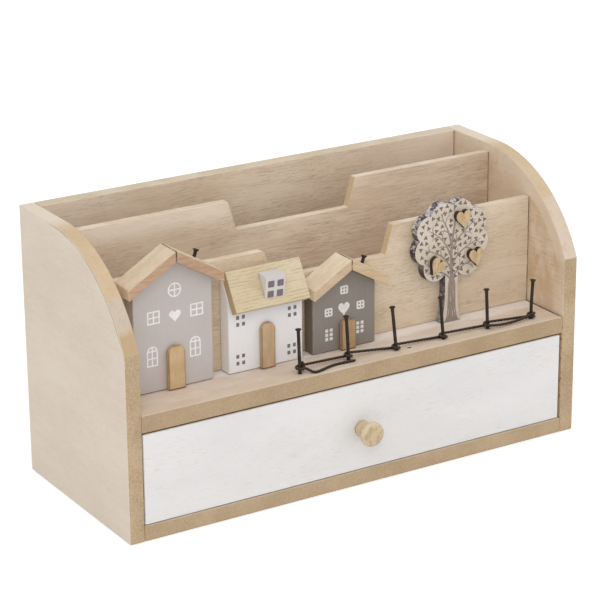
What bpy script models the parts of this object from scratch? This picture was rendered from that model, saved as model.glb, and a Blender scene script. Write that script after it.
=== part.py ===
"""Desk letter rack: a curved-sided wooden case with two letter slots, a drawer under its shelf, and
a small street on the shelf, with three houses, a tree and a fence of nails strung with twine.

Lengths are metres and +Z is up. The front faces -Y, and +X is to the right of someone who faces it.
The origin is the centre of the case's footprint, on the surface that it stands on.
"""

import math

import bmesh
import bpy
from mathutils import Euler, Matrix, Vector

# Case
RACK_WIDTH = 0.300
RACK_DEPTH = 0.122
RACK_HEIGHT = 0.161
CASE_BOARD = 0.009
SHELF_BOARD = 0.010
BAY_HEIGHT = 0.0544
FRONT_EDGE_HEIGHT = 0.109
CURVE_RUN = 0.080
SEAT_GAP = 0.0003
EDGE_EASE = 0.0005
CUT_OVERRUN = 0.002

# Dividers, which stand on the shelf between the sides, each with a dip in its top edge
DIVIDER_BOARD = 0.005
FRONT_DIVIDER_SETBACK = 0.0355
REAR_DIVIDER_SETBACK = 0.0769
FRONT_DIVIDER_DROP = 0.0225
REAR_DIVIDER_DROP = 0.0050
DIP_TOP_WIDTH = 0.0860
DIP_LOW_WIDTH = 0.0754
DIP_DEPTH = 0.0177
FRONT_DIP_SHIFT = 0.0006
REAR_DIP_SHIFT = 0.0017
DIP_ROUND = 0.0010
WORN_DIP_ROUND = 0.0030
DIVIDER_EASE = 0.0003

# Drawer
DRAWER_TOP_CLEARANCE = 0.0011
DRAWER_SIDE_PLAY = 0.0027
DRAWER_LEFT_CLEARANCE = 0.0006
DRAWER_FOOT_CLEARANCE = 0.0003
DRAWER_LIP_CLEARANCE = 0.0007
DRAWER_BACK_SPACE = 0.002
DRAWER_FRONT_BOARD = 0.009
DRAWER_WALL_BOARD = 0.006
DRAWER_BASE_BOARD = 0.003
DRAWER_WALL_DROP = 0.005

# Knob, turned from one piece of wood, and the screw that holds it from inside the drawer
KNOB_DIAMETER = 0.0146
KNOB_REACH = 0.0134
KNOB_FOOT_DIAMETER = 0.0094
KNOB_NECK_DIAMETER = 0.0076
KNOB_DROP = 0.0012
SCREW_DIAMETER = 0.0034
SCREW_HEAD_DIAMETER = 0.0068
SCREW_HEAD_HEIGHT = 0.0022
SCREW_BITE = 0.0075
SCREW_CLEARANCE = 0.0003

# Nails, of one size, which make the fence and the chimneys
NAIL_DIAMETER = 0.0020
NAIL_HEAD_DIAMETER = 0.0036
NAIL_HEAD_HEIGHT = 0.0010
NAIL_POINT = 0.0022
NAIL_CLEARANCE = 0.0003
FENCE_STAND = 0.0268
FENCE_BITE = 0.0070
FENCE_PITCH = 0.0321
FENCE_RIGHT_MARGIN = 0.0174
FENCE_SETBACK = 0.0087
CHIMNEY_STAND = 0.0046
CHIMNEY_BITE = 0.0095
CHIMNEY_LEAN = math.radians(18)

# Each fence nail's wander along the fence (of the pitch) and across it (of the setback), the lean of
# its top to the right and its height (both of the stand)
FENCE_NAIL_SHARES = (
    (-0.005, -0.17, -0.033, 1.00),
    (0.06, 0.20, -0.060, 1.00),
    (0.03, -0.02, -0.110, 1.01),
    (0.05, -0.01, -0.090, 0.98),
    (0.03, 0.02, -0.050, 0.92),
    (0.00, -0.02, 0.040, 0.90),
)

# Twine, one length wound once or more round each nail
TWINE_DIAMETER = 0.0012
TWINE_TURN_GAP = 0.00062
TWINE_NAIL_GAP = 0.0003
TWINE_SHELF_GAP = 0.00025
TWINE_TURNS = (0.5, 1.0, 1.0, 1.0, 1.0, 1.5)
TWINE_HITCH_TURNS = 0.1
TWINE_HITCH_LIFT_SHARE = 1.1
TWINE_LIFT_SHARES = (1.25, 0.5, 0.0, 0.0, 0.25, 0.0)
TWINE_SAG = 0.0017
TWINE_POINTS_PER_TURN = 16
TWINE_POINTS_PER_SPAN = 10

# The twine's loose end on the shelf, from its tip to the knot, and the bridge from the knot to the
# first nail: right of and behind that nail, and above the lowest that the twine can lie
TWINE_TAIL = (
    (0.0360, -0.0014, 0.0000),
    (0.0296, -0.0008, 0.0000),
    (0.0229, -0.0008, 0.0000),
    (0.0182, -0.0017, 0.0000),
    (0.0148, -0.0028, 0.0000),
    (0.0114, -0.0039, 0.0000),
    (0.0086, -0.0045, 0.0000),
    (0.0068, -0.0041, 0.0001),
    (0.0055, -0.0030, 0.0006),
    (0.0047, -0.0013, 0.0011),
)
TWINE_BRIDGE = (
    (0.0026, -0.0004, 0.0026),
    (0.0019, -0.0015, 0.0024),
    (0.0009, -0.00195, 0.0023),
)
KNOT_GAP = 0.0004
KNOT_FAR = 0.0044
KNOT_NEAR = 0.0027
KNOT_START = math.radians(-110)
KNOT_SWEEP = math.radians(300)
KNOT_STEPS = 6

# Houses: blocks that stand on the shelf against the front divider
HOUSE_BOARD = 0.009
HOUSE_EASE = 0.0006
ROOF_BOARD = 0.0055
ROOF_DEPTH = 0.0172
ROOF_PITCH = math.radians(30)
DOOR_BOARD = 0.0025
CHIMNEY_SHARE = 0.62
CHIMNEY_DEPTH_SHARE = 0.80

GREY_MARGIN = 0.0045
GREY_WIDTH = 0.0490
GREY_RIDGE_HEIGHT = 0.0818
GREY_RIDGE_SHIFT = -0.0012
GREY_EAVE = 0.0048
GREY_DOOR_WIDTH = 0.0104
GREY_DOOR_HEIGHT = 0.0255
GREY_DOOR_SHIFT = 0.0003

WHITE_SPACING = 0.0064
WHITE_WIDTH = 0.0480
WHITE_WALL_HEIGHT = 0.0437
WHITE_PITCH = math.radians(60)
WHITE_ROOF_LENGTH = 0.0238
WHITE_EAVE = 0.0085
WHITE_DOOR_WIDTH = 0.0088
WHITE_DOOR_HEIGHT = 0.0272
WHITE_DOOR_SHIFT = 0.0001
DORMER_WIDTH = 0.0125
DORMER_HEIGHT = 0.0124
DORMER_RISE = 0.0044
DORMER_SHIFT = 0.0017
DORMER_TOP_SLOPE = math.radians(6.2)
DORMER_LEAN = math.radians(5.5)
DORMER_TURN = math.radians(-1.6)

DARK_SPACING = 0.0034
DARK_WIDTH = 0.0420
DARK_RIDGE_HEIGHT = 0.0561
DARK_RIDGE_SHIFT = 0.0004
DARK_EAVE = 0.0038
DARK_DOOR_WIDTH = 0.0096
DARK_DOOR_HEIGHT = 0.0180
DARK_DOOR_SHIFT = 0.0016

# Tree: a flat board with a scalloped crown, and hearts glued to its face
TREE_BOARD = 0.0058
TREE_HEIGHT = 0.0737
CROWN_WIDTH = 0.0518
CROWN_HEIGHT = 0.0470
TRUNK_WIDTH = 0.0090
FOOT_WIDTH = 0.0142
LOBE_RADIUS = 0.0086
TREE_PLACE_SHARE = 0.461

# The centres of the crown's lobes on its right half, from the trunk up, about the crown's middle. They
# are shares of the crown's half width and half height, each less a lobe's radius.
LOBE_SHARES = ((0.65, -1.00), (1.00, -0.26), (0.93, 0.57), (0.365, 1.00))

# Hearts: their places are shares of the crown's half width and half height from its middle
HEART_BOARD = 0.003
HEART_WIDTH = 0.0104
HEART_HEIGHT = 0.0108
HEART_PLACE_SHARES = ((0.232, 0.52), (-0.481, -0.583), (0.598, -0.54))
HEART_TILTS = (math.radians(3), math.radians(-37), math.radians(4))

# Values worked out from the sizes above
FRONT = -RACK_DEPTH / 2
BACK = RACK_DEPTH / 2
INNER_HALF = RACK_WIDTH / 2 - CASE_BOARD
BACK_FACE = BACK - CASE_BOARD
SHELF_UNDER = CASE_BOARD + BAY_HEIGHT
SHELF_TOP = SHELF_UNDER + SHELF_BOARD
STREET_BACK = FRONT + FRONT_DIVIDER_SETBACK - SEAT_GAP
STREET_FLOOR = SHELF_TOP + SEAT_GAP
HOUSE_FRONT = STREET_BACK - HOUSE_BOARD
ROOF_DROP = ROOF_BOARD / math.cos(ROOF_PITCH)
GREY_HALF_SPAN = GREY_WIDTH / 2 + GREY_EAVE
GREY_RIDGE_X = -INNER_HALF + GREY_MARGIN + GREY_HALF_SPAN
GREY_X = GREY_RIDGE_X - GREY_RIDGE_SHIFT
WHITE_X = GREY_RIDGE_X + GREY_HALF_SPAN + WHITE_SPACING + WHITE_WIDTH / 2
DARK_HALF_SPAN = DARK_WIDTH / 2 + DARK_EAVE
DARK_RIDGE_X = WHITE_X + WHITE_WIDTH / 2 + DARK_SPACING + DARK_HALF_SPAN
DARK_X = DARK_RIDGE_X - DARK_RIDGE_SHIFT
STREET_END = DARK_RIDGE_X + DARK_HALF_SPAN
TREE_X = STREET_END + (INNER_HALF - STREET_END) * TREE_PLACE_SHARE
TREE_FACE = STREET_BACK - TREE_BOARD
TWINE_PITCH = TWINE_DIAMETER + TWINE_TURN_GAP
TWINE_WIND_RADIUS = NAIL_DIAMETER / 2 + TWINE_NAIL_GAP + TWINE_DIAMETER / 2
TWINE_LOW = SHELF_TOP + TWINE_DIAMETER / 2 + TWINE_SHELF_GAP

UPRIGHT_ACROSS = (math.pi / 2, 0, 0)
UPRIGHT_ALONG = (math.pi / 2, 0, math.pi / 2)


def clear_scene():
    for old in list(bpy.data.objects):
        bpy.data.objects.remove(old, do_unlink=True)


def new_collection(name):
    collection = bpy.data.collections.new(name)
    bpy.context.scene.collection.children.link(collection)
    return collection


def new_material(name, colour, roughness, metallic=0.0):
    material = bpy.data.materials.new(name)
    material.use_nodes = True
    shader = material.node_tree.nodes["Principled BSDF"]
    shader.inputs["Base Color"].default_value = (*colour, 1.0)
    shader.inputs["Roughness"].default_value = roughness
    shader.inputs["Metallic"].default_value = metallic
    return material


def finish_piece(obj, material, parent):
    """Gives a piece its material, its parent and its place in the rack's collection."""
    obj.data.materials.clear()
    obj.data.materials.append(material)
    obj.parent = parent
    PIECES.objects.link(obj)
    return obj


def ease_edges(obj, width, segments=2):
    bevel = obj.modifiers.new("eased_edges", "BEVEL")
    bevel.width = width
    bevel.segments = segments
    bevel.limit_method = "ANGLE"
    bevel.angle_limit = math.radians(35)
    return obj


def board(name, low, high, material, parent, ease=EDGE_EASE):
    """A rectangular board between two corners, given in its parent's space."""
    low = Vector(low)
    high = Vector(high)
    mesh = bpy.data.meshes.new(name)
    bm = bmesh.new()
    bmesh.ops.create_cube(bm, size=1)
    bmesh.ops.scale(bm, vec=high - low, verts=bm.verts)
    bm.to_mesh(mesh)
    bm.free()
    obj = finish_piece(bpy.data.objects.new(name, mesh), material, parent)
    obj.location = (low + high) / 2
    return ease_edges(obj, ease)


def plate(name, outline, thickness, centre, turn, material, parent, ease=EDGE_EASE):
    """A flat outline given the thickness of its board, with its middle plane through centre."""
    curve = bpy.data.curves.new(name, "CURVE")
    curve.dimensions = "2D"
    curve.fill_mode = "BOTH"
    curve.extrude = thickness / 2
    spline = curve.splines.new("POLY")
    spline.points.add(len(outline) - 1)
    for point, (across, up) in zip(spline.points, outline):
        point.co = (across, up, 0, 1)
    spline.use_cyclic_u = True
    guide = bpy.data.objects.new(f"{name}_outline", curve)
    PIECES.objects.link(guide)
    depsgraph = bpy.context.evaluated_depsgraph_get()
    mesh = bpy.data.meshes.new_from_object(guide.evaluated_get(depsgraph))
    bpy.data.objects.remove(guide, do_unlink=True)
    mesh.name = name
    bm = bmesh.new()
    bm.from_mesh(mesh)
    bmesh.ops.remove_doubles(bm, verts=bm.verts, dist=SEAT_GAP / 10)
    bmesh.ops.dissolve_limit(bm, angle_limit=math.radians(0.2), verts=bm.verts, edges=bm.edges)
    bmesh.ops.recalc_face_normals(bm, faces=bm.faces)
    bm.to_mesh(mesh)
    bm.free()
    obj = finish_piece(bpy.data.objects.new(name, mesh), material, parent)
    obj.location = centre
    obj.rotation_euler = turn
    return ease_edges(obj, ease)


def turned(name, profile, steps, material, parent):
    """A shape turned about its own Z axis from (radius, height) points, top to bottom."""
    mesh = bpy.data.meshes.new(name)
    bm = bmesh.new()
    verts = [bm.verts.new((radius, 0, height)) for radius, height in profile]
    for upper, lower in zip(verts, verts[1:]):
        bm.edges.new((upper, lower))
    bm.to_mesh(mesh)
    bm.free()
    obj = finish_piece(bpy.data.objects.new(name, mesh), material, parent)
    screw = obj.modifiers.new("turned", "SCREW")
    screw.axis = "Z"
    screw.steps = steps
    screw.render_steps = steps
    screw.use_merge_vertices = True
    screw.merge_threshold = SEAT_GAP / 10
    screw.use_smooth_shade = True
    return obj


def drill(target, name, radius, start, end):
    """Cuts a round hole from start to end, both given in world space."""
    start = Vector(start)
    end = Vector(end)
    mesh = bpy.data.meshes.new(name)
    bm = bmesh.new()
    bmesh.ops.create_cone(bm, cap_ends=True, segments=16, radius1=radius, radius2=radius, depth=(end - start).length)
    bm.to_mesh(mesh)
    bm.free()
    cutter = bpy.data.objects.new(name, mesh)
    CUTTERS.objects.link(cutter)
    cutter.location = (start + end) / 2
    cutter.rotation_mode = "QUATERNION"
    cutter.rotation_quaternion = Vector((0, 0, 1)).rotation_difference(end - start)
    cutter.hide_render = True
    cutter.display_type = "WIRE"
    hole = target.modifiers.new(name, "BOOLEAN")
    hole.operation = "DIFFERENCE"
    hole.solver = "EXACT"
    hole.object = cutter


def arc(centre, radius, start, end, steps):
    """Points on an arc of a circle, or of an ellipse where radius is a pair."""
    across, up = radius if isinstance(radius, tuple) else (radius, radius)
    turns = [start + (end - start) * i / steps for i in range(steps + 1)]
    return [(centre[0] + across * math.cos(t), centre[1] + up * math.sin(t)) for t in turns]


def rounded(corners, radii, steps=5):
    """An outline through the corners, each rounded to its radius."""
    points = []
    for i, radius in enumerate(radii):
        corner = Vector(corners[i])
        if not radius:
            points.append(tuple(corner))
            continue
        before = (Vector(corners[i - 1]) - corner).normalized()
        after = (Vector(corners[(i + 1) % len(corners)]) - corner).normalized()
        half = before.angle(after) / 2
        start = corner + before * radius / math.tan(half)
        end = corner + after * radius / math.tan(half)
        centre = corner + (before + after).normalized() * radius / math.sin(half)
        for step in range(steps + 1):
            spoke = (start - centre).slerp(end - centre, step / steps)
            points.append(tuple(centre + spoke.normalized() * radius))
    return points


def side_outline():
    """Depth and height: a quarter of a barrel curve runs from the front edge to the flat top."""
    rise = RACK_HEIGHT - FRONT_EDGE_HEIGHT
    radius = (CURVE_RUN**2 + rise**2) / (2 * rise)
    sweep = math.asin(CURVE_RUN / radius)
    curve = arc((FRONT + CURVE_RUN, RACK_HEIGHT - radius), radius, math.pi / 2 + sweep, math.pi / 2, 26)
    return [(BACK, 0), (FRONT, 0), *curve, (BACK, RACK_HEIGHT)]


def divider_outline(height, shift, left_round):
    """Width and height above the divider's foot, with the dip in the top edge, whose left corner is
    rounded on its own."""
    half = INNER_HALF - SEAT_GAP
    top = DIP_TOP_WIDTH / 2
    low = DIP_LOW_WIDTH / 2
    corners = [
        (-half, 0),
        (half, 0),
        (half, height),
        (shift + top, height),
        (shift + low, height - DIP_DEPTH),
        (shift - low, height - DIP_DEPTH),
        (shift - top, height),
        (-half, height),
    ]
    return rounded(corners, [0, 0, 0, DIP_ROUND, DIP_ROUND, DIP_ROUND, left_round, 0])


def make_case():
    side = new_material("limed_veneer", (0.66, 0.56, 0.45), 0.65)
    inner = new_material("inner_veneer", (0.50, 0.39, 0.29), 0.65)
    half = RACK_WIDTH / 2
    for name, end in (("left_side", -1), ("right_side", 1)):
        centre = (end * (half - CASE_BOARD / 2), 0, 0)
        plate(name, side_outline(), CASE_BOARD, centre, UPRIGHT_ALONG, side, CASE)
    span = INNER_HALF - SEAT_GAP
    board("back_panel", (-span, BACK_FACE, 0), (span, BACK, RACK_HEIGHT), inner, CASE)
    board("bottom_board", (-span, FRONT, 0), (span, BACK_FACE - SEAT_GAP, CASE_BOARD), side, CASE)
    shelf_low = (-span, FRONT, SHELF_UNDER)
    shelf_high = (span, BACK_FACE - SEAT_GAP, SHELF_TOP)
    shelf = board("shelf_board", shelf_low, shelf_high, side, CASE)
    dividers = (
        ("front_divider", FRONT_DIVIDER_SETBACK, FRONT_DIVIDER_DROP, FRONT_DIP_SHIFT, WORN_DIP_ROUND),
        ("rear_divider", REAR_DIVIDER_SETBACK, REAR_DIVIDER_DROP, REAR_DIP_SHIFT, DIP_ROUND),
    )
    for name, setback, drop, shift, left_round in dividers:
        height = RACK_HEIGHT - drop - STREET_FLOOR
        centre = (0, FRONT + setback + DIVIDER_BOARD / 2, STREET_FLOOR)
        outline = divider_outline(height, shift, left_round)
        plate(name, outline, DIVIDER_BOARD, centre, UPRIGHT_ACROSS, inner, CASE, DIVIDER_EASE)
    return shelf


def make_drawer():
    """The drawer's own space starts in the face of its front, under the knob."""
    pale = new_material("painted_front", (0.80, 0.78, 0.76), 0.6)
    plain = new_material("drawer_wood", (0.62, 0.49, 0.34), 0.7)
    right = INNER_HALF - DRAWER_SIDE_PLAY / 2
    left = -right
    front_low = DRAWER_LIP_CLEARANCE - DRAWER_FOOT_CLEARANCE
    front_top = BAY_HEIGHT - DRAWER_TOP_CLEARANCE - DRAWER_FOOT_CLEARANCE
    wall_low = DRAWER_BASE_BOARD + SEAT_GAP
    wall_top = front_top - DRAWER_WALL_DROP
    inside = DRAWER_FRONT_BOARD + SEAT_GAP
    rear = BACK_FACE - DRAWER_BACK_SPACE - FRONT
    back_face = rear - DRAWER_WALL_BOARD
    front = board("drawer_front", (left, 0, front_low), (right, DRAWER_FRONT_BOARD, front_top), pale, DRAWER)
    board("drawer_base", (left, inside, 0), (right, rear, DRAWER_BASE_BOARD), plain, DRAWER)
    board("drawer_back", (left, back_face, wall_low), (right, rear, wall_top), plain, DRAWER)
    walls = (
        ("drawer_left_wall", left, left + DRAWER_WALL_BOARD),
        ("drawer_right_wall", right - DRAWER_WALL_BOARD, right),
    )
    for name, low_x, high_x in walls:
        low = (low_x, inside, wall_low)
        high = (high_x, back_face - SEAT_GAP, wall_top)
        board(name, low, high, plain, DRAWER)
    make_knob(front, (front_low + front_top) / 2 - KNOB_DROP)


def knob_profile():
    """The head's face, its round rim, the neck and the foot, then the screw's hole."""
    head = KNOB_DIAMETER / 2
    foot = KNOB_FOOT_DIAMETER / 2
    neck = KNOB_NECK_DIAMETER / 2
    rim = KNOB_REACH * 0.24
    rim_height = KNOB_REACH - rim
    face = arc((0, KNOB_REACH - rim * 0.4), (head * 0.68, rim * 0.4), math.pi / 2, math.radians(22), 4)
    edge = arc((head - rim * 0.9, rim_height), (rim * 0.9, rim * 0.86), math.radians(62), math.radians(-75), 7)
    waist = rim_height - rim * 1.35
    hole = SCREW_DIAMETER / 2 + SCREW_CLEARANCE
    depth = SCREW_BITE + SCREW_CLEARANCE
    stem = [(neck, waist), (neck, waist - rim * 0.8), (foot, rim * 0.55), (foot, SEAT_GAP)]
    return [*face, *edge, *stem, (hole, SEAT_GAP), (hole, depth), (0, depth)]


def screw_profile():
    """From the tip inside the knob down to the domed head inside the drawer."""
    shank = SCREW_DIAMETER / 2
    head = SCREW_HEAD_DIAMETER / 2
    seat = -DRAWER_FRONT_BOARD - SEAT_GAP
    tip = [(0, SCREW_BITE), (shank * 0.3, SCREW_BITE), (shank, SCREW_BITE - shank * 2)]
    rim = seat - SCREW_HEAD_HEIGHT * 0.35
    dome = arc((0, rim), (head, SCREW_HEAD_HEIGHT * 0.65), 0, -math.pi / 2, 5)
    return [*tip, (shank, seat), (head, seat), *dome]


def make_knob(front, height):
    wood = new_material("knob_wood", (0.72, 0.55, 0.34), 0.55)
    steel = new_material("screw_steel", (0.55, 0.54, 0.52), 0.35, 1.0)
    knob = turned("drawer_knob", knob_profile(), 28, wood, DRAWER)
    screw = turned("knob_screw", screw_profile(), 16, steel, DRAWER)
    for piece in (knob, screw):
        piece.location = (0, 0, height)
        piece.rotation_euler = (math.pi / 2, 0, 0)
    centre = DRAWER.location + Vector((0, 0, height))
    start = centre - Vector((0, CUT_OVERRUN, 0))
    end = centre + Vector((0, DRAWER_FRONT_BOARD + CUT_OVERRUN, 0))
    drill(front, "knob_screw_hole", SCREW_DIAMETER / 2 + SCREW_CLEARANCE, start, end)


def nail_profile(stand, bite):
    """The head's flat top and its cone, the shank and the point, with the nail's foot at zero."""
    shank = NAIL_DIAMETER / 2
    head = NAIL_HEAD_DIAMETER / 2
    top = [(0, stand), (head * 0.9, stand), (head, stand - NAIL_HEAD_HEIGHT * 0.25)]
    neck = [(head * 0.95, stand - NAIL_HEAD_HEIGHT * 0.5), (shank, stand - NAIL_HEAD_HEIGHT * 1.4)]
    return [*top, *neck, (shank, NAIL_POINT - bite), (0, -bite)]


def nail(name, foot, lean, stand, bite, material, targets):
    """A nail that leans to the right by an angle, and the hole for it in each target."""
    obj = turned(name, nail_profile(stand, bite), 12, material, CASE)
    obj.location = foot
    obj.rotation_euler = (0, lean, 0)
    along = Vector((math.sin(lean), 0, math.cos(lean)))
    start = Vector(foot) - along * (bite + NAIL_CLEARANCE)
    end = Vector(foot) + along * (stand - NAIL_HEAD_HEIGHT * 1.5)
    for target in targets:
        drill(target, f"{name}_hole_{target.name}", NAIL_DIAMETER / 2 + NAIL_CLEARANCE, start, end)


def fence_feet():
    """Each fence nail's foot on the shelf, its lean and its height above the shelf."""
    last = INNER_HALF - FENCE_RIGHT_MARGIN
    feet = []
    for i, (along, across, lean, height) in enumerate(FENCE_NAIL_SHARES):
        x = last - FENCE_PITCH * (len(FENCE_NAIL_SHARES) - 1 - i - along)
        y = FRONT + FENCE_SETBACK * (1 + across)
        feet.append((Vector((x, y, SHELF_TOP)), math.atan(lean), FENCE_STAND * height))
    return feet


def make_fence(shelf):
    iron = new_material("dark_nail", (0.035, 0.028, 0.024), 0.5, 0.6)
    cord = new_material("waxed_twine", (0.025, 0.018, 0.014), 0.75)
    feet = fence_feet()
    for i, (foot, lean, stand) in enumerate(feet):
        nail(f"fence_nail_{i + 1}", foot, lean, stand, FENCE_BITE, iron, [shelf])
    make_twine(feet, cord)
    return iron


def winding(foot, lean, start, sweep, height, radius=None):
    """Points round a nail, clockwise from above, each turn one pitch above the last."""
    count = max(2, round(TWINE_POINTS_PER_TURN * sweep / math.tau))
    points = []
    for i in range(count + 1):
        turn = sweep * i / count
        z = height + TWINE_PITCH * turn / math.tau
        axis = Vector((foot.x + (z - foot.z) * math.tan(lean), foot.y, z))
        around = start - turn
        points.append(axis + (radius or TWINE_WIND_RADIUS) * Vector((math.cos(around), math.sin(around), 0)))
    return points


def span_between(start, end, sag=0.0):
    """The inner points of a stretch from nail to nail, hanging by sag in its middle."""
    points = []
    for i in range(1, TWINE_POINTS_PER_SPAN):
        share = i / TWINE_POINTS_PER_SPAN
        point = start.lerp(end, share)
        point.z -= sag * 4 * share * (1 - share)
        points.append(point)
    return points


def smooth(points, steps):
    """Points on a smooth curve through the given ones."""
    padded = [points[0] * 2 - points[1], *points, points[-1] * 2 - points[-2]]
    found = []
    for a, b, c, d in zip(padded, padded[1:], padded[2:], padded[3:]):
        for i in range(steps):
            t = i / steps
            found.append(0.5 * (2 * b + (c - a) * t + (2 * a - 5 * b + 4 * c - d) * t**2 + (3 * b - a - 3 * c + d) * t**3))
    return [*found, points[-1]]


def knot_turn(start, toward):
    """A turn round the twine's own first stretch, which begins on its far side from the nail."""
    along = (toward - start).normalized()
    behind = Vector((0, 0, 1)).cross(along).normalized()
    above = along.cross(behind)
    points = []
    for i in range(KNOT_STEPS + 1):
        share = i / KNOT_STEPS
        turn = KNOT_START + KNOT_SWEEP * share
        middle = start + along * (KNOT_FAR + (KNOT_NEAR - KNOT_FAR) * share)
        points.append(middle + (behind * math.cos(turn) + above * math.sin(turn)) * (TWINE_DIAMETER + KNOT_GAP))
    return points


def twine_route(feet):
    """The loose end, the knot, the winding at each nail, and the way back to the last nail but one."""
    back = math.pi / 2
    headings = []
    for (here, _, _), (there, _, _) in zip(feet, feet[1:]):
        headings.append(math.atan2(there.y - here.y, there.x - here.x))
    heights = [TWINE_LOW + TWINE_PITCH * share for share in TWINE_LIFT_SHARES]
    first, first_lean, _ = feet[0]
    low = Vector((first.x, first.y, TWINE_LOW))
    turns = TWINE_TURNS[0] * math.tau
    wound = winding(first, first_lean, -back, turns - headings[0], heights[0])
    landing = winding(*feet[1][:2], headings[0] + back, 0, heights[1])[0]
    knot = knot_turn(wound[-1], landing)
    loose = [low + Vector(point) for point in TWINE_TAIL]
    bridge = [low + Vector(point) for point in TWINE_BRIDGE]
    route = [*smooth([*loose, *knot, *bridge, wound[0]], 2)[:-1], *wound]
    for i in range(1, len(feet)):
        foot, lean, _ = feet[i]
        start = headings[i - 1] + back
        leaving = headings[i] + back if i < len(headings) else headings[-1] + back
        wound = winding(foot, lean, start, TWINE_TURNS[i] * math.tau + start - leaving, heights[i])
        route += [*span_between(route[-1], wound[0]), *wound]
    foot, lean, _ = feet[-2]
    height = TWINE_LOW + TWINE_PITCH * TWINE_HITCH_LIFT_SHARE
    outer = TWINE_WIND_RADIUS + TWINE_DIAMETER + KNOT_GAP
    hitch = winding(foot, lean, headings[-1] - back, TWINE_HITCH_TURNS * math.tau, height, outer)
    return [*route, *span_between(route[-1], hitch[0], TWINE_SAG), *hitch]


def least_gap(route):
    """The least clear space between two stretches of the twine that aren't neighbours."""
    apart = TWINE_POINTS_PER_TURN // 2
    pairs = ((a, b) for i, a in enumerate(route) for b in route[i + apart :])
    return min((a - b).length for a, b in pairs) - TWINE_DIAMETER


def make_twine(feet, material):
    route = twine_route(feet)
    print(f"least gap of the twine to itself: {least_gap(route) * 1000:.2f} mm")
    curve = bpy.data.curves.new("fence_twine", "CURVE")
    curve.dimensions = "3D"
    curve.bevel_depth = TWINE_DIAMETER / 2
    curve.bevel_resolution = 2
    curve.use_fill_caps = True
    spline = curve.splines.new("POLY")
    spline.points.add(len(route) - 1)
    for point, place in zip(spline.points, route):
        point.co = (*place, 1)
    finish_piece(bpy.data.objects.new("fence_twine", curve), material, CASE)


def gable_outline(width, ridge_height, ridge_shift):
    """Width and height of a gabled front, up to the underside of its roof."""
    apex = ridge_height - ROOF_DROP - SEAT_GAP / math.cos(ROOF_PITCH) - SEAT_GAP
    slope = math.tan(ROOF_PITCH)
    left = apex - (width / 2 + ridge_shift) * slope
    right = apex - (width / 2 - ridge_shift) * slope
    return [(-width / 2, 0), (width / 2, 0), (width / 2, right), (ridge_shift, apex), (-width / 2, left)]


def make_gabled_house(name, x, width, ridge_height, ridge_shift, half_span, paint, wood, iron):
    """A painted block under two roof boards that meet at a plumb joint, with a nail for a chimney."""
    centre = (x, HOUSE_FRONT + HOUSE_BOARD / 2, STREET_FLOOR)
    outline = gable_outline(width, ridge_height, ridge_shift)
    block = plate(f"{name}_block", outline, HOUSE_BOARD, centre, UPRIGHT_ACROSS, paint, CASE, HOUSE_EASE)
    fall = half_span * math.tan(ROOF_PITCH)
    roof_centre = (x + ridge_shift, STREET_BACK - ROOF_DEPTH / 2, SHELF_TOP + ridge_height)
    for side, end in (("left", -1), ("right", 1)):
        joint = end * SEAT_GAP / 2
        eave = end * half_span
        roof = [(joint, 0), (joint, -ROOF_DROP), (eave, -ROOF_DROP - fall), (eave, -fall)]
        slab = plate(f"{name}_roof_{side}", roof, ROOF_DEPTH, roof_centre, UPRIGHT_ACROSS, wood, CASE)
    along = half_span * CHIMNEY_SHARE
    foot = (
        x + ridge_shift + along,
        STREET_BACK - ROOF_DEPTH * (1 - CHIMNEY_DEPTH_SHARE),
        SHELF_TOP + ridge_height - along * math.tan(ROOF_PITCH),
    )
    nail(f"{name}_chimney", foot, CHIMNEY_LEAN, CHIMNEY_STAND, CHIMNEY_BITE, iron, [slab, block])


def make_door(name, x, width, height, rise_share, material):
    """A thin arched door glued to a house's front."""
    half = width / 2
    rise = half * rise_share
    spring = height - rise
    outline = [(-half, 0), (half, 0), *arc((0, spring), (half, rise), 0, math.pi, 12)]
    centre = (x, HOUSE_FRONT - SEAT_GAP - DOOR_BOARD / 2, STREET_FLOOR)
    plate(name, outline, DOOR_BOARD, centre, UPRIGHT_ACROSS, material, CASE, DIVIDER_EASE)


def make_white_house(paint, wood):
    """A block whose front top edge is cut away for one steep roof board that carries a dormer."""
    climb = Vector((math.cos(WHITE_PITCH), math.sin(WHITE_PITCH)))
    out = Vector((-math.sin(WHITE_PITCH), math.cos(WHITE_PITCH)))
    shoulder = Vector((HOUSE_FRONT, STREET_FLOOR + WHITE_WALL_HEIGHT))
    top = shoulder + climb * (WHITE_ROOF_LENGTH - WHITE_EAVE)
    section = [
        (HOUSE_FRONT, STREET_FLOOR),
        tuple(shoulder),
        tuple(top),
        (STREET_BACK, top.y),
        (STREET_BACK, STREET_FLOOR),
    ]
    plate("white_house_block", section, WHITE_WIDTH, (WHITE_X, 0, 0), UPRIGHT_ALONG, paint, CASE, HOUSE_EASE)
    low = shoulder - climb * WHITE_EAVE + out * SEAT_GAP
    high = low + climb * WHITE_ROOF_LENGTH
    roof = [tuple(low), tuple(high), tuple(high + out * ROOF_BOARD), tuple(low + out * ROOF_BOARD)]
    plate("white_house_roof", roof, WHITE_WIDTH, (WHITE_X, 0, 0), UPRIGHT_ALONG, wood, CASE)
    make_dormer(low + out * (ROOF_BOARD + SEAT_GAP), climb, paint)


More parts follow.
